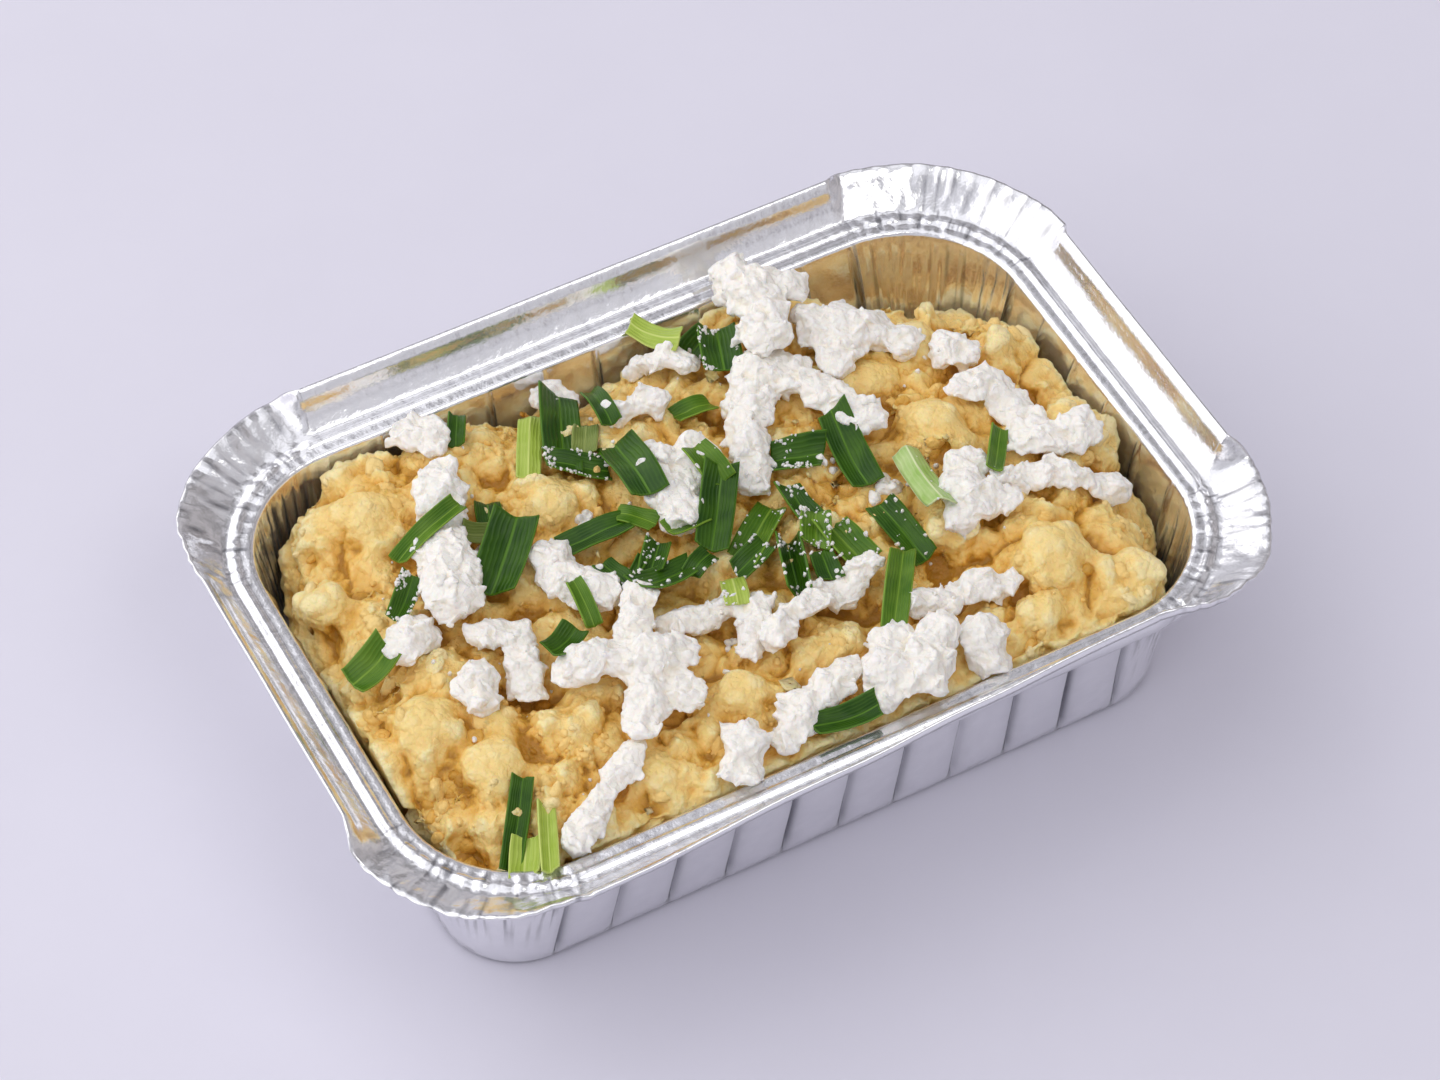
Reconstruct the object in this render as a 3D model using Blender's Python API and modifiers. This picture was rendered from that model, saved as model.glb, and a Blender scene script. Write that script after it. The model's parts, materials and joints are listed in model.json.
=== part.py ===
"""Foil tray meal: crushed potato, crumbled fresh cheese and chopped leek leaves in a pressed foil tray.

The tray is one shell lofted round its plan, from the base up the fluted wall, out over the ledge and
up the flange. The potato fills it as one lumpy heap. The cheese and the leek leaves are laid on the
heap one after another, each lifted until it is clear of what lies under it.
The origin is on the table under the middle of the tray, +X runs along its length, +Z is up.
"""

import math
import random
from collections import namedtuple

import bmesh
import bpy
from mathutils import Matrix, Vector, noise
from mathutils.bvhtree import BVHTree
from mathutils.geometry import delaunay_2d_cdt

MM = 0.001

# Tray: the opening is measured at the inner edge of the ledge
OPENING = (95.0, 62.0, 28.0)
BASE = (88.5, 53.9, 18.0)
LEDGE_HEIGHT = 45.0
LEDGE_WIDTH = 6.5
BEAD_OUT = 4.0
BEAD_RISE = 0.8
BEAD_HALF = 1.1
FOOT_RADIUS = 1.8
FOIL = 0.35

# Flutes pressed into the wall
FLUTE_PITCH = 13.5
FLUTE_HALF = 1.0
FLUTE_DEPTH = 0.8
CORNER_PLEATS = 12
PLEAT_DEPTH = 0.35

# Flange: its lean is measured from upright, in degrees
FLANGE_SLANT = 11.0
FLANGE_LEAN = 36.0
FRONT_LEAN = (43.0, 12.0)
CORNER_SLANT = 11.5
CORNER_LEAN = {(1, -1): 70.0, (1, 1): 52.0, (-1, 1): 72.0, (-1, -1): 60.0}
CRIMP_SLANT = 0.6
CRIMP_LEAN = 4.0
HEM = 1.7
HEM_OFFSET = 0.9

# Potato heap
GAP = 0.3
HEAP_INSET = FOIL + FLUTE_DEPTH + PLEAT_DEPTH + GAP
HEAP_EDGE = 42.5
HEAP_CROWN = 46.5
HEAP_SHOULDER = 22.0
HEAP_GRAIN = 4.25
HEAP_SIDES = 80
LUMP_DROP = 4.5
CLOD_SIZE = 9.5
CLOD_RISE = 3.0
ROUGHNESS = 0.9

# Toppings are laid by lifting them until they are clear
LIFT_STEP = 0.1

# Each lump is x, y, radius and top height; each hollow is x, y, radius and depth
LUMPS = (
    (63, -34, 12, 50.5), (56, 4, 12, 51.5), (80, 18, 11, 46.5), (69, 31, 8, 47.5), (82, -9, 9, 48.5),
    (69, -47, 9, 48), (71, -58, 7, 46.5), (49, -55, 9, 47.5), (60, -50, 7, 47), (83, -27, 5, 44),
    (-65, 43, 12, 48), (-78, 24, 9, 46.5), (-71, 22, 9, 47), (-80, 9, 8, 46.5), (-88, 4, 7, 44.5),
    (-81, -17, 15, 50), (-70, -32, 12, 49.5), (-54, -36, 8, 50), (-59, -28, 7, 49), (-66, -8, 8, 48.5),
    (-18, -41, 9, 50), (-9, -45, 6, 49.5), (-40, -51, 8, 48.5), (-51, -58, 6, 46.5), (11, -38, 7, 48),
    (-89, -38, 7, 42.5), (-84, -53, 7, 41.5), (-33, 47, 9, 48.5), (-31, 24, 11, 48.5), (-58, 49, 7, 47),
    (-46, 8, 8, 47), (-30, -10, 7, 47.5), (10, 42, 9, 46), (28, 20, 9, 47.5), (30, -20, 9, 46.5),
    (46, 30, 10, 47), (5, 15, 10, 47.5), (42, -14, 8, 47), (-62, -46, 7, 47.5), (33, -47, 8, 47),
)
HOLLOWS = (
    (-89, 40, 16, 22), (-90, 20, 8, 10), (64, 58, 11, 13), (82, 50, 17, 20), (94, 27, 9, 12),
    (95, 7, 12, 17), (95, -18, 11, 16), (93, -45, 15, 22), (-3, 56, 9, 13), (-24, 61, 7, 9),
    (-92, -29, 6, 8), (-83, -34, 5, 7), (-84, -46, 6, 9), (-46, -37, 4, 7), (15, 31, 6, 6),
    (38, -33, 7, 6), (14, -29, 6, 6), (47, -46, 4, 6), (-62, 28, 7, 5), (-20, -1, 6, 4),
    (73, -1, 5, 5), (-34, -35, 5, 5), (-58, -18, 7, 4), (60, 17, 7, 4), (-52, -44, 6, 4),
    (52, -8, 6, 4),
)

# Cheese: the width of a strand, then the strands, each a run of x, y places
CHEESE = (
    (11, ((-47, 58), (-44, 54))),
    (11, ((-49, 43), (-51, 36), (-53, 29))),
    (13, ((-57, 22), (-60, 13), (-62, 7))),
    (10, ((-76, 3), (-74, 4))),
    (8, ((-60, -3), (-53, -6), (-55, -13), (-58, -19))),
    (9, ((-66, -11), (-69, -18))),
    (11, ((-39, 8), (-37, 2), (-33, -3))),
    (9, ((-28, -11), (-32, -22), (-35, -30), (-42, -42)), ((-49, -21), (-34, -27), (-25, -29)),
     ((-34, -28), (-30, -40))),
    (7, ((-46, -45), (-52, -49), (-58, -53), (-62, -57), (-66, -58))),
    (10, ((-24, -55), (-27, -59))),
    (8, ((4, -47), (-2, -50), (-9, -52), (-15, -57))),
    (10, ((15, -46), (11, -52), (9, -57)), ((27, -48), (22, -54), (17, -58))),
    (10, ((35, -54), (33, -57))),
    (8, ((26, -39), (33, -41), (40, -39), (46, -42))),
    (7, ((-24, -18), (-17, -20), (-9, -20)), ((-4, -22), (-8, -28), (-12, -34))),
    (7, ((-5, -34), (0, -30), (9, -28), (15, -27), (22, -26))),
    (10, ((27, 34), (21, 27), (17, 20), (12, 9)), ((33, 34), (36, 27), (39, 19), (42, 13))),
    (11, ((44, 41), (50, 38), (58, 33), (61, 28)), ((50, 38), (46, 30))),
    (10, ((70, 22), (72, 20))),
    (12, ((36, 57), (36, 49), (33, 41)), ((36, 55), (45, 53))),
    (7, ((7, 54), (12, 49), (16, 45))),
    (9, ((-4, 39), (3, 39))),
    (12, ((-4, 20), (3, 17)), ((0, 18), (-8, 7))),
    (9, ((67, 9), (73, 7), (74, -3), (71, -12), (82, -14))),
    (8, ((61, -18), (67, -20), (73, -23), (82, -28))),
    (10, ((54, -11), (50, -18), (46, -25)), ((50, -18), (56, -24))),
    (8, ((-15, 57), (-12, 54))),
)

# Leek leaves: x, y, length, width, angle, depth of the lengthwise fold and lift of one edge
LEAVES = (
    (-27, 41, 19, 6, 62, -1.6, 0.0), (-18, 43, 24, 9, 66, 1.6, 1.5), (-8, 43, 14, 5, 84, 1.0, 0.0),
    (-20, 31, 14, 6, -28, 0.8, 0.5), (-11, 22, 21, 9, 85, 1.4, -1.0), (-43, 29, 8, 6, 70, 0.8, 0.0),
    (-59, 26, 18, 5, 15, 1.0, 0.0), (-47, 23, 10, 6, -14, 0.6, 0.0), (-47, 13, 19, 11, 46, 2.2, 0.0),
    (-26, 11, 16, 8, -4, 1.0, -1.0), (-71, 13, 12, 5, 46, 1.0, 0.5), (-85, 1, 11, 8, 18, 1.2, 0.8),
    (-38, -7, 11, 4, 87, 0.7, 0.0), (-47, -15, 10, 6, 30, 0.9, 0.5), (-19, -9, 14, 9, 9, 1.5, -1.5),
    (-7, -18, 9, 6, 70, -1.0, 0.0), (3, 13, 10, 7, 100, 1.2, 0.0), (0, 3, 20, 8, 55, 1.6, 0.8),
    (6, -4, 17, 8, 38, 1.4, -0.8), (24, 10, 12, 9, -20, 1.4, 0.6), (35, 6, 19, 8, 87, 1.3, -0.6),
    (18, -3, 13, 6, 92, 1.0, 0.6), (22, -16, 12, 9, 100, 1.6, 0.8), (8, -17, 17, 6, 70, 2.4, 0.0),
    (44, -11, 21, 7, 82, -1.5, 0.0), (35, -18, 18, 7, 96, 1.1, -0.6), (63, -11, 16, 4, 54, 0.8, 0.6),
    (24, -35, 22, 6, 55, 1.2, 0.5), (-2, -58, 15, 6, -8, 1.0, 0.6), (-75, -48, 20, 5, 55, 1.0, 0.0),
    (13, 57, 14, 6, -64, -1.0, 0.5),
)
LEAF_THICKNESS = 0.45
SKEW = 0.8
MAX_SLOPE = 0.28
MAX_BOW = 1.3

Station = namedtuple("Station", "ax ay nx ny shift flute pleat lean slant")
Ring = namedtuple("Ring", "half_x half_y radius")


def clear_scene():
    """Remove every object that the file opened with."""
    for obj in list(bpy.data.objects):
        bpy.data.objects.remove(obj, do_unlink=True)


def make_material(name, color, roughness, metallic):
    """A Principled material of one colour."""
    material = bpy.data.materials.new(name)
    material.use_nodes = True
    principled = material.node_tree.nodes["Principled BSDF"]
    principled.inputs["Base Color"].default_value = (*color, 1.0)
    principled.inputs["Roughness"].default_value = roughness
    principled.inputs["Metallic"].default_value = metallic
    return material


def add_object(name, bm, collection, material):
    """Turn a bmesh in millimetres into a named object in metres."""
    bmesh.ops.scale(bm, vec=(MM, MM, MM), verts=bm.verts)
    mesh = bpy.data.meshes.new(name)
    bm.to_mesh(mesh)
    bm.free()
    mesh.materials.append(material)
    obj = bpy.data.objects.new(name, mesh)
    collection.objects.link(obj)
    return obj


def bake_modifiers(obj):
    """Replace an object's mesh by its evaluated one and drop its modifiers."""
    bpy.context.view_layer.update()
    evaluated = obj.evaluated_get(bpy.context.evaluated_depsgraph_get())
    old = obj.data
    obj.data = bpy.data.meshes.new_from_object(evaluated)
    obj.modifiers.clear()
    bpy.data.meshes.remove(old)


def side_lean(place_x, sign_y, facing):
    """The flange's lean on the side that faces an angle; the front side is twisted along its length."""
    if sign_y < 0 and facing == -90 or facing == 270:
        return FRONT_LEAN[0] + (FRONT_LEAN[1] - FRONT_LEAN[0]) * (place_x + 1) / 2
    return FLANGE_LEAN


def side_stations(along_x, fixed, direction, length):
    """Stations along a straight side: both edges and the middle of each flute."""
    count = round(length / FLUTE_PITCH)
    stations = []
    for index in range(count + 1):
        place = direction * (2 * index / count - 1)
        for step in (-1, 0, 1):
            shift = step * FLUTE_HALF
            if along_x:
                lean = side_lean(place, fixed, 90 * fixed)
                station = (place, fixed, 0, fixed, shift, 1 - abs(step), 0, lean, FLANGE_SLANT)
            else:
                station = (fixed, place, fixed, 0, shift, 1 - abs(step), 0, FLANGE_LEAN, FLANGE_SLANT)
            stations.append(Station(*station))
    return stations


def corner_stations(sign_x, sign_y, start_angle):
    """Stations round a corner, pleated in and out by turns between two abrupt ends."""
    stations = []
    flat_end = 5.0
    for index in range(CORNER_PLEATS):
        turn = math.radians(flat_end + (90 - 2 * flat_end) * index / (CORNER_PLEATS - 1))
        angle = math.radians(start_angle) + turn
        pleat = 1 if index % 2 else -1
        if index in (0, CORNER_PLEATS - 1):
            pleat = 0
        start_lean = side_lean(sign_x, sign_y, start_angle)
        end_lean = side_lean(sign_x, sign_y, start_angle + 90)
        flare = CORNER_LEAN[(sign_x, sign_y)] - (start_lean + end_lean) / 2
        lean = start_lean + (end_lean - start_lean) * turn * 2 / math.pi + flare * math.sin(2 * turn)
        slant = CORNER_SLANT - 1.5 * math.cos(2 * turn) ** 2
        stations.append(Station(sign_x, sign_y, math.cos(angle), math.sin(angle), 0, 0, pleat, lean, slant))
    return stations


def tray_stations():
    """Every station round the tray, anticlockwise from the left end of the front side."""
    half_x, half_y, radius = OPENING
    long_side = 2 * (half_x - radius)
    short_side = 2 * (half_y - radius)
    return (side_stations(True, -1, 1, long_side) + corner_stations(1, -1, -90)
            + side_stations(False, 1, 1, short_side) + corner_stations(1, 1, 0)
            + side_stations(True, 1, -1, long_side) + corner_stations(-1, 1, 90)
            + side_stations(False, -1, -1, short_side) + corner_stations(-1, -1, 180))


def plan_point(station, ring, out=0.0):
    """The place of a station on a rounded rectangle, moved outwards by out."""
    reach = ring.radius + out
    x = station.ax * (ring.half_x - ring.radius) + reach * station.nx - station.shift * station.ny
    y = station.ay * (ring.half_y - ring.radius) + reach * station.ny + station.shift * station.nx
    return x, y


def wall_section(height):
    """The wall's plan at a height between the base and the ledge."""
    t = height / LEDGE_HEIGHT
    return Ring(*(low + (high - low) * t for low, high in zip(BASE, OPENING)))


def flange_points(station, opening):
    """The top of the flange and the edge of the hem that is folded down outside it."""
    lean = math.radians(station.lean + CRIMP_LEAN * station.pleat)
    slant = station.slant + CRIMP_SLANT * station.pleat
    out = LEDGE_WIDTH + slant * math.sin(lean)
    up = LEDGE_HEIGHT + slant * math.cos(lean)
    hem_out = out + HEM_OFFSET * math.cos(lean) - HEM * math.sin(lean)
    hem_up = up - HEM_OFFSET * math.sin(lean) - HEM * math.cos(lean)
    top = (*plan_point(station, opening, out), up)
    hem = (*plan_point(station, opening, hem_out), hem_up)
    return top, hem


def tray_section(station):
    """The points up one station's section, from the base's edge to the hem."""
    opening = Ring(*OPENING)
    base = Ring(*BASE)
    press = -FLUTE_DEPTH * station.flute + PLEAT_DEPTH * station.pleat
    wall_top = LEDGE_HEIGHT - 1.5
    top, hem = flange_points(station, opening)
    return (
        (*plan_point(station, base, -FOOT_RADIUS), 0.0),
        (*plan_point(station, wall_section(FOOT_RADIUS), press), FOOT_RADIUS),
        (*plan_point(station, wall_section(wall_top), press), wall_top),
        (*plan_point(station, opening), LEDGE_HEIGHT),
        (*plan_point(station, opening, BEAD_OUT - BEAD_HALF), LEDGE_HEIGHT),
        (*plan_point(station, opening, BEAD_OUT), LEDGE_HEIGHT + BEAD_RISE),
        (*plan_point(station, opening, LEDGE_WIDTH), LEDGE_HEIGHT),
        top,
        hem,
    )


def bridge(bm, lower, upper):
    """Join two rings of equal length with quads."""
    count = len(lower)
    for index in range(count):
        after = (index + 1) % count
        bm.faces.new((lower[index], lower[after], upper[after], upper[index]))


def build_tray(collection, material):
    """The foil shell: an open surface lofted through the sections, with the foil's thickness."""
    bm = bmesh.new()
    sections = [tray_section(station) for station in tray_stations()]
    rings = [[bm.verts.new(point) for point in ring] for ring in zip(*sections)]
    bm.faces.new(reversed(rings[0]))
    for lower, upper in zip(rings, rings[1:]):
        bridge(bm, lower, upper)
    bmesh.ops.triangulate(bm, faces=bm.faces)
    tray = add_object("foil_tray", bm, collection, material)
    solidify = tray.modifiers.new("foil", "SOLIDIFY")
    solidify.thickness = FOIL * MM
    solidify.offset = -1.0
    tray.data.shade_smooth()
    bake_modifiers(tray)
    return tray


def inside_depth(x, y):
    """How far a point lies inside the opening, in plan."""
    half_x, half_y, radius = OPENING
    dx = abs(x) - (half_x - radius)
    dy = abs(y) - (half_y - radius)
    if dx > 0 and dy > 0:
        return radius - math.hypot(dx, dy)
    return radius - max(dx, dy)


def heap_height(x, y):
    """The top of the potato: a low dome with hollows, lumps and a rough grain."""
    rise = min(max(inside_depth(x, y), 0) / HEAP_SHOULDER, 1)
    height = HEAP_EDGE + (HEAP_CROWN - HEAP_EDGE) * rise * (2 - rise)
    for cx, cy, radius, depth in HOLLOWS:
        spread = ((x - cx) ** 2 + (y - cy) ** 2) / radius ** 2
        height -= depth * math.exp(-spread)
    for cx, cy, radius, top in LUMPS:
        spread = ((x - cx) ** 2 + (y - cy) ** 2) / radius ** 2
        height = max(height, top - LUMP_DROP * spread)
    grain = noise.noise(Vector((x, y, 0)) / 3.6) + 0.6 * noise.noise(Vector((x, y, 40)) / 8.0)
    nearest, second = noise.voronoi(Vector((x, y, 7)) / CLOD_SIZE)[0][:2]
    clod = min(1.0, 1.6 * (second - nearest)) - 0.5
    return height + ROUGHNESS * grain + CLOD_RISE * clod


def heap_ring(height, count):
    """Evenly spread points on the heap's outline at a height or, if it is None, at its top edge."""
    points = []
    for index in range(count):
        turn = 2 * math.pi * index / count
        level = height
        if level is None:
            level = 43.0
        for _ in range(3):
            half_x, half_y, radius = wall_section(level)
            x = half_x * math.cos(turn)
            y = half_y * math.sin(turn)
            x, y = clamp_to_outline(x, y, half_x, half_y, radius)
            if height is None:
                level = min(heap_height(x, y), LEDGE_HEIGHT - 0.5)
        points.append((x, y, level))
    return points


def clamp_to_outline(x, y, half_x, half_y, radius):
    """Push a direction out to the rounded rectangle, less the gap to the wall."""
    reach = 0.0
    step = 0.5
    while step > 0.0005:
        far = reach + step
        dx = abs(x * far) - (half_x - radius)
        dy = abs(y * far) - (half_y - radius)
        if dx > 0 and dy > 0:
            depth = radius - math.hypot(dx, dy)
        else:
            depth = radius - max(dx, dy)
        if depth > HEAP_INSET:
            reach = far
        else:
            step *= 0.5
    return x * reach, y * reach


def heap_interior():
    """A jittered triangular grid of points inside the heap's outline."""
    rng = random.Random(11)
    half_x, half_y, _ = OPENING
    points = []
    row = 0
    y = -half_y
    while y < half_y:
        x = -half_x + HEAP_GRAIN * 0.5 * (row % 2)
        while x < half_x:
            px = x + rng.uniform(-1, 1) * HEAP_GRAIN * 0.24
            py = y + rng.uniform(-1, 1) * HEAP_GRAIN * 0.24
            if inside_depth(px, py) > HEAP_INSET + HEAP_GRAIN * 0.75:
                points.append((px, py, heap_height(px, py)))
            x += HEAP_GRAIN
        y += HEAP_GRAIN * math.sqrt(3) / 2
        row += 1
    return points


def build_heap(collection, material):
    """The potato: rings up the side of the tray, closed by a lumpy top and a flat underside."""
    bm = bmesh.new()
    floor = FOIL + GAP
    levels = (floor, 5.0, 15.0, None)
    rings = []
    for index, level in enumerate(levels):
        points = heap_ring(level, HEAP_SIDES)
        if index == 0:
            points = [(x * 0.97, y * 0.95, z) for x, y, z in points]
        rings.append([bm.verts.new(point) for point in points])
    bm.faces.new(reversed(rings[0]))
    for lower, upper in zip(rings, rings[1:]):
        bridge(bm, lower, upper)
    top = list(rings[-1]) + [bm.verts.new(point) for point in heap_interior()]
    flat = [Vector(vert.co.xy) for vert in top]
    faces = delaunay_2d_cdt(flat, [], [list(range(HEAP_SIDES))], 1, 1e-5)[2]
    for face in faces:
        bm.faces.new([top[corner] for corner in face])
    bmesh.ops.triangulate(bm, faces=bm.faces)
    bmesh.ops.recalc_face_normals(bm, faces=bm.faces)
    return add_object("crushed_potato", bm, collection, material)


class Pile:
    """What has been laid so far, asked for its height and for clashes."""

    def __init__(self):
        self.trees = []

    def add(self, obj):
        """Lay an object on the pile where it is."""
        self.trees.append(tree_of(obj))

    def height(self, x, y):
        """The highest surface over a place in metres."""
        best = 0.0
        start = Vector((x, y, 0.2))
        for tree in self.trees:
            hit = tree.ray_cast(start, Vector((0, 0, -1)))[0]
            if hit is not None:
                best = max(best, hit.z)
        return best

    def clashes(self, obj):
        """Whether an object cuts into anything laid so far."""
        tree = tree_of(obj)
        return any(tree.overlap(other) for other in self.trees)

    def settle(self, obj):
        """Lift an object in small steps until it is clear, then by the gap and until it is clear again."""
        for extra in (GAP, 0.0):
            while self.clashes(obj):
                obj.data.transform(Matrix.Translation((0, 0, LIFT_STEP * MM)))
            obj.data.transform(Matrix.Translation((0, 0, extra * MM)))
        self.add(obj)


def tree_of(obj):
    """A search tree over an object's triangles."""
    mesh = obj.data
    mesh.calc_loop_triangles()
    triangles = [tuple(triangle.vertices) for triangle in mesh.loop_triangles]
    return BVHTree.FromPolygons([vert.co.copy() for vert in mesh.vertices], triangles)


def strand_blobs(strand, width, rng):
    """Uneven balls in a row along a strand."""
    blobs = []
    for (x0, y0), (x1, y1) in zip(strand, strand[1:]):
        steps = max(1, round(math.hypot(x1 - x0, y1 - y0) / (width * 0.38)))
        for index in range(steps + 1):
            t = index / steps
            blobs.append((x0 + (x1 - x0) * t, y0 + (y1 - y0) * t))
    jitter = width * 0.1
    return [(x + rng.uniform(-jitter, jitter), y + rng.uniform(-jitter, jitter),
             width * rng.uniform(0.42, 0.6)) for x, y in blobs]


def build_cheese(name, strands, width, pile, collection, material, rng):
    """One crumble: uneven balls fused into a skin, its underside shaped by what it lies on."""
    bm = bmesh.new()
    blobs = [blob for strand in strands for blob in strand_blobs(strand, width, rng)]
    for x, y, radius in blobs:
        height = pile.height(x * MM, y * MM) / MM + radius * 0.35
        squash = Matrix.Diagonal((1, 1, rng.uniform(0.7, 0.95), 1))
        place = Matrix.Translation((x, y, height)) @ squash
        bmesh.ops.create_icosphere(bm, subdivisions=2, radius=radius, matrix=place)
    obj = add_object(name, bm, collection, material)
    remesh = obj.modifiers.new("fuse", "REMESH")
    remesh.mode = "VOXEL"
    remesh.voxel_size = 1.1 * MM
    bake_modifiers(obj)
    rough = rng.uniform(0, 100)
    for vert in obj.data.vertices:
        swell = noise.noise(vert.co / (3.0 * MM) + Vector((rough, 0, 0)))
        vert.co += vert.normal * swell * 0.09 * width * MM
    decimate = obj.modifiers.new("facets", "DECIMATE")
    wanted = 40 + 9 * len(blobs)
    decimate.ratio = min(1, wanted / (2 * len(obj.data.polygons)))
    decimate.use_collapse_triangulate = True
    bake_modifiers(obj)
    lowest = min(vert.co.z for vert in obj.data.vertices)
    highest = max(vert.co.z for vert in obj.data.vertices)
    for vert in obj.data.vertices:
        support = min(pile.height(vert.co.x, vert.co.y) + GAP * MM, (lowest + highest) / 2)
        vert.co.z = max(vert.co.z, support + 0.35 * (vert.co.z - lowest))
    pile.settle(obj)
    return obj


def leaf_profile(pile, x, y, angle, length):
    """The height, slope and bow that let a leaf follow what it lies on, within reason."""
    direction = Vector((math.cos(angle), math.sin(angle)))
    across = Vector((-direction.y, direction.x))
    heights = []
    for place in (-0.4, 0.0, 0.4):
        spots = [Vector((x, y)) + direction * length * place + across * side for side in (-2, 0, 2)]
        heights.append(max(pile.height(spot.x * MM, spot.y * MM) / MM for spot in spots))
    slope = max(-MAX_SLOPE, min(MAX_SLOPE, (heights[2] - heights[0]) / (0.8 * length)))
    bow = max(-MAX_BOW, min(MAX_BOW, heights[1] - (heights[0] + heights[2]) / 2))
    return max(heights[1], (heights[0] + heights[2]) / 2), slope, bow


def build_leaf(name, leaf, pile, collection, material, rng):
    """A strip of leaf folded along its middle, bowed along its length, with the leaf's thickness."""
    x, y, length, width, degrees, fold, edge_lift = leaf
    angle = math.radians(degrees)
    height, slope, bow = leaf_profile(pile, x, y, angle, length)
    stations = 4 if length > 12 else 3
    skew = rng.uniform(-SKEW, SKEW)
    bm = bmesh.new()
    bmesh.ops.create_grid(bm, x_segments=stations, y_segments=2, size=1.0)
    for vert in bm.verts:
        u, v = vert.co.x, vert.co.y
        ripple = 0.25 * math.sin(3.0 * u + degrees)
        along = u * length / 2 + v * skew
        side = v * width / 2 * (1 - 0.05 * abs(fold))
        up = fold * (abs(v) - 0.5) + bow * (1 - u * u) + slope * along + edge_lift * v + ripple
        vert.co = Vector((along, side, up))
    bmesh.ops.triangulate(bm, faces=bm.faces)
    place = Matrix.Translation((x, y, height)) @ Matrix.Rotation(angle, 4, "Z")
    bmesh.ops.transform(bm, matrix=place, verts=bm.verts)
    obj = add_object(name, bm, collection, material)
    solidify = obj.modifiers.new("leaf", "SOLIDIFY")
    solidify.thickness = LEAF_THICKNESS * MM
    solidify.offset = 0.0
    bake_modifiers(obj)
    pile.settle(obj)
    return obj


def centre_in_plan(objects):
    """Move everything so that its box is centred over the origin."""
    corners = [vert.co for obj in objects for vert in obj.data.vertices]
    middle_x = (min(co.x for co in corners) + max(co.x for co in corners)) / 2
    middle_y = (min(co.y for co in corners) + max(co.y for co in corners)) / 2
    for obj in objects:
        obj.data.transform(Matrix.Translation((-middle_x, -middle_y, 0)))


def build():
    """Model the tray, its potato and, one after another, what lies on top."""
    clear_scene()
    collection = bpy.data.collections.new("foil tray meal")
    bpy.context.scene.collection.children.link(collection)
    foil = make_material("foil", (0.83, 0.83, 0.86), 0.28, 1.0)
    potato = make_material("potato", (0.84, 0.62, 0.24), 0.55, 0.0)
    curd = make_material("curd", (0.94, 0.91, 0.84), 0.6, 0.0)
    green = make_material("green leaf", (0.07, 0.17, 0.04), 0.4, 0.0)

    rng = random.Random(7)
    pile = Pile()
    tray = build_tray(collection, foil)
    pile.add(tray)
    heap = build_heap(collection, potato)
    pile.add(heap)
    objects = [tray, heap]
    for index, (width, *strands) in enumerate(CHEESE, 1):
        name = f"cheese_{index:02d}"
        objects.append(build_cheese(name, strands, width, pile, collection, curd, rng))
    for index, leaf in enumerate(LEAVES, 1):
        objects.append(build_leaf(f"leek_{index:02d}", leaf, pile, collection, green, rng))
    centre_in_plan(objects)


build()
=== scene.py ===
"""A foil tray of crushed potato with crumbled fresh cheese and chopped leek leaves.

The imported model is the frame: each of its pieces is made again in detail where it lies, the tray first,
then the potato, the cheese, the leaves and the crumbs. Names that end in _MM or stand in tables of
sizes are in millimetres, all else is in metres.
"""

import json
import math
import random

import bmesh
import bpy
import numpy as np
from mathutils import Matrix, Vector, noise
from mathutils.bvhtree import BVHTree

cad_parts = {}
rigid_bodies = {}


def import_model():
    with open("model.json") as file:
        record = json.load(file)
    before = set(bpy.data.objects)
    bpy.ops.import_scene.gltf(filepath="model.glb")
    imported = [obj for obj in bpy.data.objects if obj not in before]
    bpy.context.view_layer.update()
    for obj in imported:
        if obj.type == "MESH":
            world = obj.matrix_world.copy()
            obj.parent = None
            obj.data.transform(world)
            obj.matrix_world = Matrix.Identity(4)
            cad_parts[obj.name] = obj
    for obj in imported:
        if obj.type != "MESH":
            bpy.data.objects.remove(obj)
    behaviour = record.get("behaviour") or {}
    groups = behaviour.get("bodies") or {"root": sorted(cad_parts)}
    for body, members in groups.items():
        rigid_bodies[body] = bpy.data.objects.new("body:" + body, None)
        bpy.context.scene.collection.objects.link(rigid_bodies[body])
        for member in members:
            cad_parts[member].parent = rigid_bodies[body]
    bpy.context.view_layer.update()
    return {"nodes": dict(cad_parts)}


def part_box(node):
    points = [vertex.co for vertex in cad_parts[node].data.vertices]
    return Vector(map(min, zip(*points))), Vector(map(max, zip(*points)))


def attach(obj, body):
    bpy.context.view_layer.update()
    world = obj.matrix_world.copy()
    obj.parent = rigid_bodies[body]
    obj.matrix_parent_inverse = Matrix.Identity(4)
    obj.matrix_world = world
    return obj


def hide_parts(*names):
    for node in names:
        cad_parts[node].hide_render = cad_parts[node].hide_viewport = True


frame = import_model()
MM = 0.001

# Noise vectors start from offsets that change with the clock unless they are seeded
noise.seed_set(5)


# Camera: a long lens looks down at the tray from beyond its front left corner
CAMERA_AZIMUTH = math.radians(-28.37)
CAMERA_ELEVATION = math.radians(51.15)
CAMERA_DISTANCE = 1.0444
LOOK_AT = Vector((0.0158, 0.0308, 0.0))
LENS_MM = 112.5

away = Vector((math.sin(CAMERA_AZIMUTH) * math.cos(CAMERA_ELEVATION),
               -math.cos(CAMERA_AZIMUTH) * math.cos(CAMERA_ELEVATION),
               math.sin(CAMERA_ELEVATION)))
camera = bpy.data.objects.new("camera", bpy.data.cameras.new("camera"))
camera.data.lens = LENS_MM
camera.data.sensor_width = 36.0
camera.data.clip_end = 20.0
camera.location = LOOK_AT + away * CAMERA_DISTANCE
camera.rotation_euler = away.to_track_quat("Z", "Y").to_euler()
bpy.context.scene.collection.objects.link(camera)
bpy.context.scene.camera = camera


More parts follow.
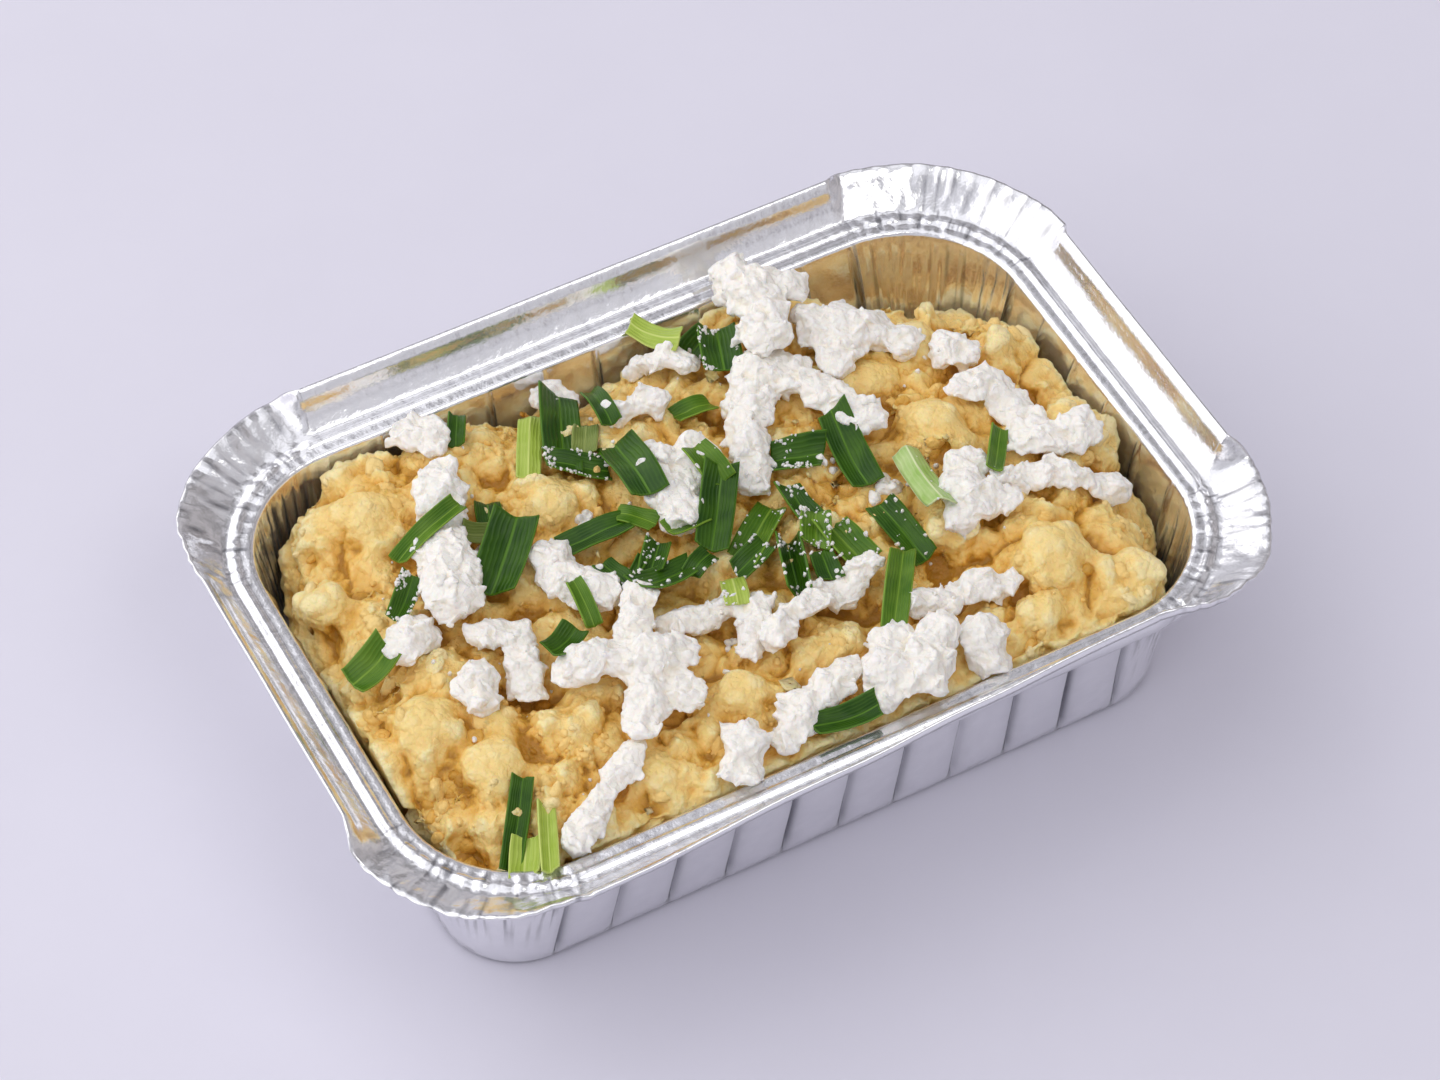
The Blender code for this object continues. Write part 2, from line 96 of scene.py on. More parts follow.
# Studio: a pale lavender table top in a pale, patchy room that the foil mirrors. The key lamp stands at the
# left behind the tray, a weak one hangs overhead and another weak one high in front.
TABLE_HALF = 2.0
LAMP_TARGET = Vector((0, 0, 0.03))


def new_material(name):
    """A node material and its Principled shader."""
    material = bpy.data.materials.new(name)
    material.use_nodes = True
    return material, material.node_tree, material.node_tree.nodes["Principled BSDF"]


def feed(tree, socket, value):
    """Link an input to a socket or set it to a value."""
    if isinstance(value, bpy.types.NodeSocket):
        tree.links.new(value, socket)
    elif value is not None:
        socket.default_value = value


def set_node(tree, node, **settings):
    """Set a node's properties and feed its inputs, both by name."""
    for key, value in settings.items():
        if hasattr(node, key):
            setattr(node, key, value)
        else:
            feed(tree, node.inputs[key.replace("_", " ")], value)


def add_node(tree, kind, *feeds, **settings):
    """A node with its first inputs fed in their order and the rest set by name."""
    node = tree.nodes.new(kind)
    set_node(tree, node, **settings)
    for socket, value in zip(node.inputs, feeds):
        feed(tree, socket, value)
    return node


def math_node(tree, operation, *feeds, kind="ShaderNodeMath"):
    """The result of one operation on sockets and values."""
    return add_node(tree, kind, *feeds, operation=operation).outputs[0]


def map_range(tree, value, low, high, to_low=0.0, to_high=1.0):
    """A socket's value taken from one range to another."""
    return add_node(tree, "ShaderNodeMapRange", value, low, high, to_low, to_high).outputs["Result"]


def mix_colors(tree, factor, first, second):
    """A blend of two colours."""
    node = add_node(tree, "ShaderNodeMix", factor, data_type="RGBA")
    feed(tree, node.inputs[6], first)
    feed(tree, node.inputs[7], second)
    return node.outputs[2]


def color_ramp(tree, factor, stops):
    """A ramp through colours at given places, fed by a socket."""
    node = add_node(tree, "ShaderNodeValToRGB", factor)
    elements = node.color_ramp.elements
    while len(elements) < len(stops):
        elements.new(0.5)
    for element, (place, color) in zip(elements, stops):
        element.position = place
        element.color = (*color, 1.0)
    return node.outputs["Color"]


def add_object(name, data):
    """A new object in the scene."""
    obj = bpy.data.objects.new(name, data)
    bpy.context.scene.collection.objects.link(obj)
    return obj


def soft_lamp(name, place, size, power, color):
    """A soft box that faces the tray."""
    lamp = add_object(name, bpy.data.lights.new(name, "AREA"))
    lamp.data.shape = "RECTANGLE"
    lamp.data.size, lamp.data.size_y = size
    lamp.data.energy = power
    lamp.data.color = color
    lamp.location = place
    lamp.rotation_euler = (Vector(place) - LAMP_TARGET).to_track_quat("Z", "Y").to_euler()


table_mesh = bpy.data.meshes.new("table_top")
table_corners = [(-TABLE_HALF, -TABLE_HALF, 0), (TABLE_HALF, -TABLE_HALF, 0), (TABLE_HALF, TABLE_HALF, 0),
                 (-TABLE_HALF, TABLE_HALF, 0)]
table_mesh.from_pydata(table_corners, [], [(0, 1, 2, 3)])
table_top = add_object("table_top", table_mesh)

paper, tree, shader = new_material("lavender paper")
place = add_node(tree, "ShaderNodeTexCoord").outputs["Object"]
mottle = add_node(tree, "ShaderNodeTexNoise", place, Scale=14.0, Detail=4.0, Roughness=0.6)
tint = color_ramp(tree, mottle.outputs["Fac"],
                  [(0.30, (0.735, 0.72, 0.815)), (0.70, (0.755, 0.74, 0.835))])
set_node(tree, shader, Base_Color=tint, Roughness=0.62, Specular_IOR_Level=0.25)
table_mesh.materials.append(paper)

soft_lamp("key_panel", (-0.9, 0.6, 0.75), (3.2, 1.8), 15.5, (1.0, 0.985, 0.965))
soft_lamp("top_panel", (-0.25, 0.45, 1.7), (1.7, 1.5), 4.0, (0.99, 0.985, 1.0))
soft_lamp("fill_panel", (0.35, -0.8, 1.7), (1.2, 0.8), 5.5, (1.0, 0.99, 0.975))

room = bpy.data.worlds.new("pale room")
room.use_nodes = True
tree = room.node_tree
direction = add_node(tree, "ShaderNodeTexCoord").outputs["Generated"]
split = add_node(tree, "ShaderNodeSeparateXYZ", direction)
rise = color_ramp(tree, split.outputs["Z"],
                  [(0.0, (0.50, 0.49, 0.54)), (0.30, (0.73, 0.72, 0.78)), (0.9, (0.63, 0.63, 0.68))])
flank = color_ramp(tree, map_range(tree, split.outputs["X"], -1.0, 1.0),
                   [(0.10, (1.05, 1.05, 1.06)), (0.60, (1.0, 1.0, 1.0)), (0.92, (0.80, 0.76, 0.72))])
patches = add_node(tree, "ShaderNodeTexNoise", direction, Scale=3.2, Detail=3.0, Roughness=0.6)
contrast = color_ramp(tree, patches.outputs["Fac"],
                      [(0.36, (0.32, 0.31, 0.30)), (0.47, (0.92, 0.92, 0.93)), (0.64, (1.25, 1.25, 1.25))])
shaded = math_node(tree, "MULTIPLY", rise, flank, kind="ShaderNodeVectorMath")
varied = math_node(tree, "MULTIPLY", shaded, contrast, kind="ShaderNodeVectorMath")
set_node(tree, tree.nodes["Background"], Color=varied, Strength=0.82)
bpy.context.scene.world = room
bpy.context.scene.view_settings.view_transform = "Standard"


# Foil tray: one sheet of thin aluminium foil pressed between dies. Its wall is fluted, its corners take
# up the spare foil in wrinkles, the ledge has a raised bead, and the flange's edge is folded down.
# Half length, half width and corner radius of the wall, at the ledge and at the base
OPENING_MM = (95.0, 62.0, 28.0)
BASE_MM = (88.5, 53.9, 18.0)
LEDGE_HEIGHT_MM = 45.0
LEDGE_WIDTH_MM = 6.5
BEAD_OUT_MM = 4.0
BEAD_RISE_MM = 0.8
FLUTE_PITCH_MM = 13.5
FLUTE_DEPTH_MM = 1.15
FLUTE_WIDTH_MM = 0.75
FLANGE_SLANT_MM = 11.0
# Angles in degrees from upright, for the front flange at its left and right ends
FLANGE_LEAN = 36.0
FRONT_LEAN = (43.0, 12.0)
# For each corner, by its signs in x and y: the lean, the shares of its arc over which the lean comes and
# goes, the flange's slanting width and the number of pleats
CORNER_LEAN = {(1, -1): 70.0, (1, 1): 54.0, (-1, 1): 71.0, (-1, -1): 74.0}
CORNER_ENDS = {(1, -1): (0.60, 0.07), (1, 1): (0.07, 0.07), (-1, 1): (0.07, 0.50), (-1, -1): (0.18, 0.60)}
CORNER_SLANT_MM = {(1, -1): 11.0, (1, 1): 11.3, (-1, 1): 11.3, (-1, -1): 8.4}
PLEATS = {(1, -1): 15, (1, 1): 15, (-1, 1): 14, (-1, -1): 13}
HEM_MM = 1.7
SHEET_MM = 0.28
# The colour of the painted shade in the foil's flutes, creases and pleats and along its foot
PAINTED_FOLD_SHADE = (0.11, 0.11, 0.13, 1.0)
# Where the sheet is divided more finely, measured from the middle of a flute
NEAR_FLUTE_MM = (0, 0.3, 0.6, 0.9, 1.2, 1.6, 2.6, 3.9, 5.3)
CORNER_STEPS = 108


def smooth_step(x):
    """0 below 0, 1 above 1 and a soft rise between them."""
    x = np.clip(x, 0.0, 1.0)
    return x * x * (3 - 2 * x)


def noise_line(values, seed, scale):
    """Smooth noise along a run of values."""
    return np.array([noise.noise(Vector((value / scale, seed, 0.37 * seed))) for value in values])


def noise_field(xs, ys, seed):
    """Smooth noise over a grid of places."""
    flat = [noise.noise(Vector((x, y, seed))) for x, y in zip(xs.ravel(), ys.ravel())]
    return np.array(flat).reshape(xs.shape)


def set_attribute(mesh, name, values):
    """Keep one number for each vertex."""
    layer = mesh.attributes.new(name, "FLOAT", "POINT")
    layer.data.foreach_set("value", np.asarray(values, dtype=np.float32))


def set_uv(mesh, name, places):
    """Lay a mesh out on a map, with one place for each vertex."""
    layer = mesh.uv_layers.new(name=name)
    vertex = np.empty(len(mesh.loops), dtype=np.int32)
    mesh.loops.foreach_get("vertex_index", vertex)
    layer.data.foreach_set("uv", places[vertex].ravel())


def thicken(obj, thickness, offset):
    """Give a sheet its thickness."""
    modifier = obj.modifiers.new("thickness", "SOLIDIFY")
    modifier.thickness = thickness
    modifier.offset = offset


stretches = []
opening_x, opening_y, opening_r = OPENING_MM
for facing, sign_x, sign_y in ((-90, 1, -1), (0, 1, 1), (90, -1, 1), (180, -1, -1)):
    along_x = facing in (-90, 90)
    length = 2 * ((opening_x if along_x else opening_y) - opening_r)
    flutes = round(length / FLUTE_PITCH_MM)
    pitch = length / flutes
    offsets = [*NEAR_FLUTE_MM, pitch / 2, *(pitch - offset for offset in NEAR_FLUTE_MM[:0:-1])]
    offsets = np.array([flute * pitch + offset for flute in range(flutes) for offset in offsets])
    steps = len(offsets)
    place = (offsets / length * 2 - 1) * (1 if facing in (-90, 0) else -1)
    nearest = np.round((place + 1) * flutes / 2) * 2 / flutes - 1
    outward = math.radians(facing)
    side = {
        "ax": place if along_x else np.full(steps, float(sign_x)),
        "ay": np.full(steps, float(sign_y)) if along_x else place,
        "nx": np.full(steps, math.cos(outward)), "ny": np.full(steps, math.sin(outward)),
        "flute": (place - nearest) * length / 2, "turn": np.full(steps, -1.0),
        "step": np.diff(offsets, append=length),
        "lean": np.full(steps, FLANGE_LEAN), "slant": np.full(steps, FLANGE_SLANT_MM),
        "pleat": np.zeros(steps), "streak_shade": np.zeros(steps),
    }
    if facing == -90:
        side["lean"] = FRONT_LEAN[0] + (FRONT_LEAN[1] - FRONT_LEAN[0]) * (place + 1) / 2
        side["lean"] = side["lean"] + 2.0 * noise_line(place * length / 2, 4.0, 18.0)
    stretches.append(side)
    turn = (np.arange(CORNER_STEPS) + 0.5) / CORNER_STEPS
    angle = outward + turn * math.pi / 2
    before = FRONT_LEAN[1] if facing == -90 else FLANGE_LEAN
    after = FRONT_LEAN[0] if facing == 180 else FLANGE_LEAN
    corner_lean = CORNER_LEAN[(sign_x, sign_y)]
    first_end, last_end = CORNER_ENDS[(sign_x, sign_y)]
    ends = smooth_step(turn / first_end) * smooth_step((1 - turn) / last_end)
    phase = turn * PLEATS[(sign_x, sign_y)] + 0.55 * noise_line(turn * 10, facing + 3.0, 1.1)
    stretches.append({
        "ax": np.full(CORNER_STEPS, float(sign_x)), "ay": np.full(CORNER_STEPS, float(sign_y)),
        "nx": np.cos(angle), "ny": np.sin(angle),
        "flute": np.minimum(turn, 1 - turn) * opening_r * math.pi / 2, "turn": turn,
        "step": np.full(CORNER_STEPS, opening_r * math.pi / 2 / CORNER_STEPS),
        "lean": (before + (after - before) * turn) * (1 - ends) + corner_lean * ends,
        "slant": FLANGE_SLANT_MM + (CORNER_SLANT_MM[(sign_x, sign_y)] - FLANGE_SLANT_MM) * ends,
        "pleat": np.abs(2 * (phase - np.floor(phase)) - 1) * 2 - 1,
        "streak_shade": np.full(CORNER_STEPS, 0.85 if facing == 180 else 0.5),
    })
station = {key: np.concatenate([stretch[key] for stretch in stretches]) for key in stretches[0]}
run = np.cumsum(station["step"])
at_corner = np.where(station["turn"] < 0, 0.0,
                     smooth_step(station["turn"] / 0.1) * smooth_step((1 - station["turn"]) / 0.1))
pleat = station["pleat"] * at_corner * (0.75 + 0.5 * noise_line(run, 9.0, 5.0))
uneven = noise_line(run, 21.0, 7.0)
waver = noise_line(run, 33.0, 24.0)

lean = np.radians(station["lean"] + 2.5 * pleat + at_corner * 4.0 * uneven + 1.2 * waver)
slant = station["slant"] + at_corner * (0.12 * pleat + 0.5 * uneven)
top_out = LEDGE_WIDTH_MM + slant * np.sin(lean)
top_up = LEDGE_HEIGHT_MM + slant * np.cos(lean)
ridge_back = 2.3
ridge_out = top_out - ridge_back * np.sin(lean) - 0.22 * np.cos(lean)
ridge_up = top_up - ridge_back * np.cos(lean) + 0.22 * np.sin(lean)
bow = 0.9 * (1 - at_corner)
knee_out = LEDGE_WIDTH_MM + 0.45 * slant * np.sin(lean) + bow * np.cos(lean)
knee_up = LEDGE_HEIGHT_MM + 0.45 * slant * np.cos(lean) - bow * np.sin(lean)
hem_out = top_out + 0.9 * np.cos(lean) - HEM_MM * np.sin(lean)
hem_up = top_up - 0.9 * np.sin(lean) - HEM_MM * np.cos(lean)
count = len(run)
ledge = LEDGE_HEIGHT_MM + 0.06 * pleat + 0.10 * at_corner * noise_line(run, 45.0, 2.2)
bead = 1 - 0.6 * at_corner * smooth_step(0.5 + 3 * noise_line(run, 51.0, 3.0))


def spread(value):
    """A value for every station."""
    return np.full(count, float(value)) if np.isscalar(value) else value


# Each row is how far the section has opened out from base to ledge, how far out, how high, and the cut
section = [
    (0, -5.0, 0, 0), (0, 0, 0, 1.7), (1, 0, ledge, 0.8), (1, BEAD_OUT_MM - 1.2, ledge, 0.4),
    (1, BEAD_OUT_MM, ledge + BEAD_RISE_MM * bead, 0.5), (1, BEAD_OUT_MM + 1.2, ledge, 0.4),
    (1, LEDGE_WIDTH_MM, ledge, 0.7), (1, knee_out, knee_up, 1.6), (1, ridge_out, ridge_up, 0.5),
    (1, top_out, top_up, 0.3),
    (1, hem_out, hem_up, 0),
]
section = [[spread(value) for value in row[:3]] + [row[3]] for row in section]
straight_rows = (2, 9, 2, 2, 2, 2, 3, 3, 2, 2)
rows = []
for index, (low, high) in enumerate(zip(section, section[1:])):
    low_point, high_point = np.stack(low[:3]), np.stack(high[:3])
    length = np.hypot(high_point[1] - low_point[1], high_point[2] - low_point[2])
    start, end = low[3] / length, 1 - high[3] / length
    for number in range(straight_rows[index]):
        t = start + (end - start) * number / straight_rows[index]
        rows.append(low_point + (high_point - low_point) * t)
    rows.append(low_point + (high_point - low_point) * end)
    if index + 2 < len(section):
        after_point = np.stack(section[index + 2][:3])
        after_length = np.hypot(after_point[1] - high_point[1], after_point[2] - high_point[2])
        arrive = low_point + (high_point - low_point) * end
        leave = high_point + (after_point - high_point) * (high[3] / after_length)
        rows.append(arrive * 0.25 + high_point * 0.5 + leave * 0.25)
rows = np.stack(rows)
opened, out, up = rows[:, 0], rows[:, 1], rows[:, 2]

# Dents, wrinkles and crimps are noise fields: first an amount in mm, then cells so many mm long and high
height = up / LEDGE_HEIGHT_MM
on_wall = smooth_step((up - 0.8) / 3.0) * smooth_step((LEDGE_HEIGHT_MM - 0.6 - up) / 2.5) * (out < 0.5)
flute = np.exp(-(station["flute"] / FLUTE_WIDTH_MM) ** 2)
between_flutes = np.mod(station["flute"], FLUTE_PITCH_MM) / FLUTE_PITCH_MM - 0.5
panel = np.clip(1 - (np.abs(between_flutes) * 2) ** 2, 0, 1)
run_grid = np.broadcast_to(run, up.shape)
crinkle = noise_field(run_grid / 2.1, up / 16.0, 3.0) + 0.6 * noise_field(run_grid / 1.0, up / 7.0, 8.0)
wrinkle = 1 - np.abs(2 * noise_field(run_grid / 3.4 + 0.04 * up, up / 40.0, 13.0)) ** 0.6
dents = noise_field(run_grid / 19.0, up / 14.0, 17.0)
side_foil = 1 - at_corner
corner_press = at_corner * smooth_step(height * 1.6) * (0.34 * crinkle + 0.5 * wrinkle - 0.2)
press = (-FLUTE_DEPTH_MM * flute + 0.40 * panel * side_foil + corner_press + 0.22 * dents
         + 0.05 * side_foil * crinkle)
out = out + on_wall * press
on_rim = (out > 0.8) * (opened > 0.99)
crumple = noise_field(run_grid / 1.7, out / 3.0, 23.0)
up = up + on_rim * (0.05 + 0.15 * at_corner) * crumple
out = out + on_rim * 0.08 * at_corner * crinkle
up_flange = np.clip((up - LEDGE_HEIGHT_MM - 0.3) / (top_up - LEDGE_HEIGHT_MM), 0, 1)
up_flange = up_flange * (out > LEDGE_WIDTH_MM)
shards = noise_field(run_grid / 1.5, out / 5.0, 61.0)
fold = ((0.42 * pleat + 0.35 * at_corner * shards + 0.03 * crumple) * up_flange ** 0.7
        * (1 - 0.6 * up_flange ** 3))
out = out - np.cos(lean) * fold
up = up + np.sin(lean) * fold

half = [np.array(BASE_MM)[axis] + (np.array(OPENING_MM)[axis] - np.array(BASE_MM)[axis]) * opened
        for axis in range(3)]
reach = half[2] + out
xs = station["ax"] * (half[0] - half[2]) + reach * station["nx"]
ys = station["ay"] * (half[1] - half[2]) + reach * station["ny"]
points = np.stack([xs, ys, np.maximum(up, 0.0)], axis=-1) * MM

# Painted shade from 0 to 1 that darkens the foil's colour: flutes, corner streaks, the foot, crimps and
# pleats
foot_shadow = np.clip(1.5 - up, 0, 1) * (out > -0.5) * (out < 0.6)
corner_streak_shade = noise_field(run_grid / 1.4, up / 22.0, 71.0)
corner_streak_shade = smooth_step(3.5 * corner_streak_shade - 0.35) * smooth_step(height * 2 - 0.3)
flute_shade_strength = 0.55 + 0.7 * noise_field(run_grid / 9.0, up / 30.0, 77.0)
beside_flute_shade = 0.15 * np.exp(-(station["flute"] / 2.4) ** 2)
wall_fold_shade = on_wall * (side_foil * (flute_shade_strength * flute + beside_flute_shade) + station["streak_shade"] * at_corner * corner_streak_shade)
crimp_shade = noise_field(run_grid / 0.9, out / 7.0, 91.0)
crimp_shade = smooth_step(4.0 * crimp_shade - 0.9) * (up_flange < 0.02) * on_rim
valley_shade = at_corner * np.clip(-0.9 * pleat + 0.9 * shards - 0.35, 0, 0.85) * (up_flange > 0)
fold_shade = np.maximum.reduce([wall_fold_shade, 0.55 * foot_shadow, crimp_shade * (0.20 + 0.45 * at_corner), valley_shade])

# The base is drawn in towards its middle in a few rings and closed there with one face
inner = [points[0] * np.array((scale, scale, 1.0)) for scale in (0.55, 0.75, 0.9)]
fold_shade = np.concatenate([np.zeros((len(inner), count)), fold_shade])
points = np.concatenate([np.stack(inner), points])
row_count = points.shape[0]
index = np.arange(row_count * count).reshape(row_count, count)
after = np.roll(index, -1, axis=1)
quads = np.stack([index[:-1], after[:-1], after[1:], index[1:]], axis=-1).reshape(-1, 4)
tray_mesh = bpy.data.meshes.new("foil_tray_sheet")
tray_mesh.from_pydata(points.reshape(-1, 3).tolist(), [], quads.tolist() + [index[0][::-1].tolist()])
lengths = np.concatenate([[0], np.cumsum(np.linalg.norm(np.diff(points, axis=0), axis=-1).mean(axis=1))])
set_uv(tray_mesh, "sheet", np.stack(np.broadcast_arrays(run * MM, lengths[:, None]), axis=-1).reshape(-1, 2))
set_attribute(tray_mesh, "fold_shade", fold_shade.ravel())
tray_mesh.shade_smooth()
foil_tray = add_object("foil_tray_sheet", tray_mesh)
thicken(foil_tray, SHEET_MM * MM, -1.0)

foil, tree, shader = new_material("pressed foil")
place = add_node(tree, "ShaderNodeTexCoord").outputs["Object"]
crumpled = add_node(tree, "ShaderNodeTexNoise", place, Scale=240.0, Detail=3.0, Roughness=0.6).outputs["Fac"]
fine = add_node(tree, "ShaderNodeTexNoise", place, Scale=900.0, Detail=2.0, Roughness=0.5).outputs["Fac"]
bump = add_node(tree, "ShaderNodeBump", Strength=0.35, Distance=0.0006, Height=crumpled)
fine_bump = add_node(tree, "ShaderNodeBump", Strength=0.12, Distance=0.0002, Height=fine,
                     Normal=bump.outputs["Normal"])
tint = color_ramp(tree, crumpled, [(0.3, (0.86, 0.86, 0.885)), (0.7, (0.93, 0.93, 0.945))])
# Painted shade: the foil's colour is darkened in its folds by the mask made above
fold_shade_mask = add_node(tree, "ShaderNodeAttribute", attribute_name="fold_shade")
set_node(tree, shader, Base_Color=mix_colors(tree, fold_shade_mask.outputs["Fac"], tint, PAINTED_FOLD_SHADE), Metallic=0.9,
         Roughness=map_range(tree, fine, 0.0, 1.0, 0.14, 0.26), Normal=fine_bump.outputs["Normal"])
tray_mesh.materials.append(foil)
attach(foil_tray, "root")
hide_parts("foil_tray")


# Potato: boiled, crushed and turned into the tray while soft, so it is a heap of soft chunks of all
# sizes stuck together, with deep clefts between them that are painted a darker, deeper yellow as shade. It
# fills the tray to the base.
VOXEL_POTATO = 0.70 * MM
CRUST_DEPTH = 7.0 * MM
HEAP_GAP_MM = 2.2
HEAP_SHIFT_MM = 0.6
# The number to the square metre, smallest and largest radius in mm, sunk share and seed of scattered lumps
LUMP_LAYERS = ((0.009e6, 3.2, 6.2, 0.50, 3), (0.030e6, 1.4, 3.0, 0.40, 4))
CRUMB_LAYERS = ((0.040e6, 1.2, 2.8, 0.45, 21), (0.060e6, 0.5, 1.2, 0.30, 22))
# The larger smooth chunks: x, y, radius and height of the top
SMOOTH_LUMPS_MM = (
    (56, 4, 9, 51.5), (70, -8, 8, 48.0), (60, -39, 10, 53.0), (66, 30, 7, 48.0), (48, 24, 8, 48.5),
    (-67, 43, 9, 49.0), (-81, -17, 9, 51.5), (-72, -33, 9, 50.5), (-30, 24, 7, 49.0), (-18, -41, 8, 51.0),
    (82, -8, 7, 48.5), (30, 38, 7, 48.5), (-84, 24, 7, 47.5), (-44, -50, 7, 48.5), (75, -50, 6, 48.0),
    (50, -52, 6, 48.0),
)


def edit_mesh(*meshes):
    """The faces of some meshes, opened together for editing."""
    shell = bmesh.new()
    for mesh in meshes:
        shell.from_mesh(mesh)
    return shell


def keep_mesh(shell, mesh):
    """Write edited faces into a mesh."""
    shell.to_mesh(mesh)
    shell.free()
    return mesh


def node_copy(name):
    """A CAD node's mesh, merged, as a new object of the same place."""
    mesh = frame["nodes"][name].data.copy()
    mesh.materials.clear()
    shell = edit_mesh(mesh)
    bmesh.ops.remove_doubles(shell, verts=shell.verts, dist=1e-5)
    return add_object(name + "_made", keep_mesh(shell, mesh))


def get_points(mesh, what="co"):
    """A mesh's vertices, or their normals, as an array."""
    values = np.empty(len(mesh.vertices) * 3)
    mesh.vertices.foreach_get(what, values)
    return values.reshape(-1, 3)


def set_points(mesh, values):
    """Move a mesh's vertices to the places in an array."""
    mesh.vertices.foreach_set("co", values.ravel())
    mesh.update()


def neighbour_mean(mesh):
    """A function that gives each vertex the mean of its neighbours' values."""
    edges = np.empty(len(mesh.edges) * 2, dtype=np.int64)
    mesh.edges.foreach_get("vertices", edges)
    first, second = edges[0::2], edges[1::2]
    total = len(mesh.vertices)
    valence = np.maximum(np.bincount(first, minlength=total) + np.bincount(second, minlength=total), 1)

    def mean(values):
        sums = np.stack([np.bincount(first, values[second, axis], total)
                         + np.bincount(second, values[first, axis], total) for axis in range(3)], axis=-1)
        return sums / valence[:, None]
    return mean


def hollow_depth(mesh, rounds, full_mm):
    """How far each vertex lies below the surface smoothed a number of times, 1 at the full depth."""
    mean = neighbour_mean(mesh)
    start = get_points(mesh)
    smooth = start
    for _ in range(rounds):
        smooth = mean(smooth)
    depth = np.einsum("ij,ij->i", smooth - start, get_points(mesh, "normal"))
    return np.clip(depth / (full_mm * MM), -1, 1)


def paint_mesh(mesh, material):
    """Give a mesh one material."""
    mesh.materials.clear()
    mesh.materials.append(material)


def settle_mesh(obj):
    """Bake an object's modifiers into a plain mesh."""
    bpy.context.view_layer.update()
    evaluated = obj.evaluated_get(bpy.context.evaluated_depsgraph_get())
    old = obj.data
    obj.data = bpy.data.meshes.new_from_object(evaluated)
    obj.modifiers.clear()
    bpy.data.meshes.remove(old)


def random_way(rng):
    """A random direction."""
    return Vector((rng.gauss(0, 1), rng.gauss(0, 1), rng.gauss(0, 1))).normalized()


lump_shapes = bpy.data.collections.new("lump shapes")
shape_rng = random.Random(5)
for number in range(7):
    hull = bmesh.new()
    for _ in range(15):
        spot = random_way(shape_rng) * shape_rng.uniform(0.85, 1.1)
        hull.verts.new((spot.x, spot.y * 0.9, spot.z * 0.75))
    bmesh.ops.convex_hull(hull, input=hull.verts)
    name = f"lump_shape_{number}"
    lump_shapes.objects.link(bpy.data.objects.new(name, keep_mesh(hull, bpy.data.meshes.new(name))))

crumb_shapes = bpy.data.collections.new("crumb shapes")
for number in range(8):
    crumb = bmesh.new()
    bmesh.ops.create_icosphere(crumb, subdivisions=2, radius=1.0)
    cuts = []
    for _ in range(10):
        cut = random_way(shape_rng)
        cuts.append((cut, shape_rng.uniform(0.62, 0.95)))
    for vert in crumb.verts:
        way = vert.co.normalized()
        reach = min(depth / max(way.dot(cut), 0.3) for cut, depth in cuts)
        vert.co = way * min(reach, 1.15)
        vert.co.z *= 0.8
    name = f"crumb_shape_{number}"
    shape = bpy.data.objects.new(name, keep_mesh(crumb, bpy.data.meshes.new(name)))
    shape.data.shade_smooth()
    crumb_shapes.objects.link(shape)


def add_sockets(tree, way, **kinds):
    """Give a node group named inputs or outputs."""
    for name, kind in kinds.items():
        tree.interface.new_socket(name.replace("_", " "), in_out=way, socket_type="NodeSocket" + kind)


lump_tree = bpy.data.node_groups.new("lumps on a skin", "GeometryNodeTree")
add_sockets(lump_tree, "INPUT", Geometry="Geometry", Shapes="Collection", Density="Float",
            Smallest="Float", Largest="Float", Sink="Float", Seed="Int", Keep_Skin="Bool",
            Material="Material")
add_sockets(lump_tree, "OUTPUT", Geometry="Geometry")
given = add_node(lump_tree, "NodeGroupInput").outputs
cover = add_node(lump_tree, "GeometryNodeInputNamedAttribute", "cover", data_type="FLOAT")
amount = math_node(lump_tree, "MULTIPLY", cover.outputs["Attribute"], given["Density"])
scattered = add_node(lump_tree, "GeometryNodeDistributePointsOnFaces", distribute_method="RANDOM",
                     Mesh=given["Geometry"], Density=amount, Seed=given["Seed"])
size = add_node(lump_tree, "FunctionNodeRandomValue", None, None, given["Smallest"], given["Largest"],
                data_type="FLOAT", Seed=given["Seed"]).outputs[1]
sunk = math_node(lump_tree, "MULTIPLY", size, given["Sink"])
inward = add_node(lump_tree, "ShaderNodeVectorMath", scattered.outputs["Normal"], operation="SCALE",
                  Scale=math_node(lump_tree, "MULTIPLY", sunk, -1.0))
moved = add_node(lump_tree, "GeometryNodeSetPosition", scattered.outputs["Points"],
                 Offset=inward.outputs["Vector"])
shapes = add_node(lump_tree, "GeometryNodeCollectionInfo", given["Shapes"], Separate_Children=True,
                  Reset_Children=True)
turned = add_node(lump_tree, "FunctionNodeRandomValue", None, (6.283, 6.283, 6.283),
                  data_type="FLOAT_VECTOR", Seed=given["Seed"])
stretched = add_node(lump_tree, "FunctionNodeRandomValue", (0.7, 0.7, 0.7), (1.25, 1.25, 1.25),
                     data_type="FLOAT_VECTOR", Seed=given["Seed"])
scale = add_node(lump_tree, "ShaderNodeVectorMath", stretched.outputs[0], operation="SCALE", Scale=size)
placed = add_node(lump_tree, "GeometryNodeInstanceOnPoints", moved.outputs["Geometry"], Pick_Instance=True,
                  Instance=shapes.outputs["Instances"], Rotation=turned.outputs[0],
                  Scale=scale.outputs["Vector"])
skin_kept = add_node(lump_tree, "GeometryNodeSwitch", given["Keep Skin"], input_type="GEOMETRY")
feed(lump_tree, skin_kept.inputs["True"], given["Geometry"])
joined = add_node(lump_tree, "GeometryNodeJoinGeometry", skin_kept.outputs["Output"])
feed(lump_tree, joined.inputs["Geometry"], placed.outputs["Instances"])
real = add_node(lump_tree, "GeometryNodeRealizeInstances", joined.outputs["Geometry"])
painted = add_node(lump_tree, "GeometryNodeSetMaterial", real.outputs["Geometry"], Material=given["Material"])
add_node(lump_tree, "NodeGroupOutput", painted.outputs["Geometry"])


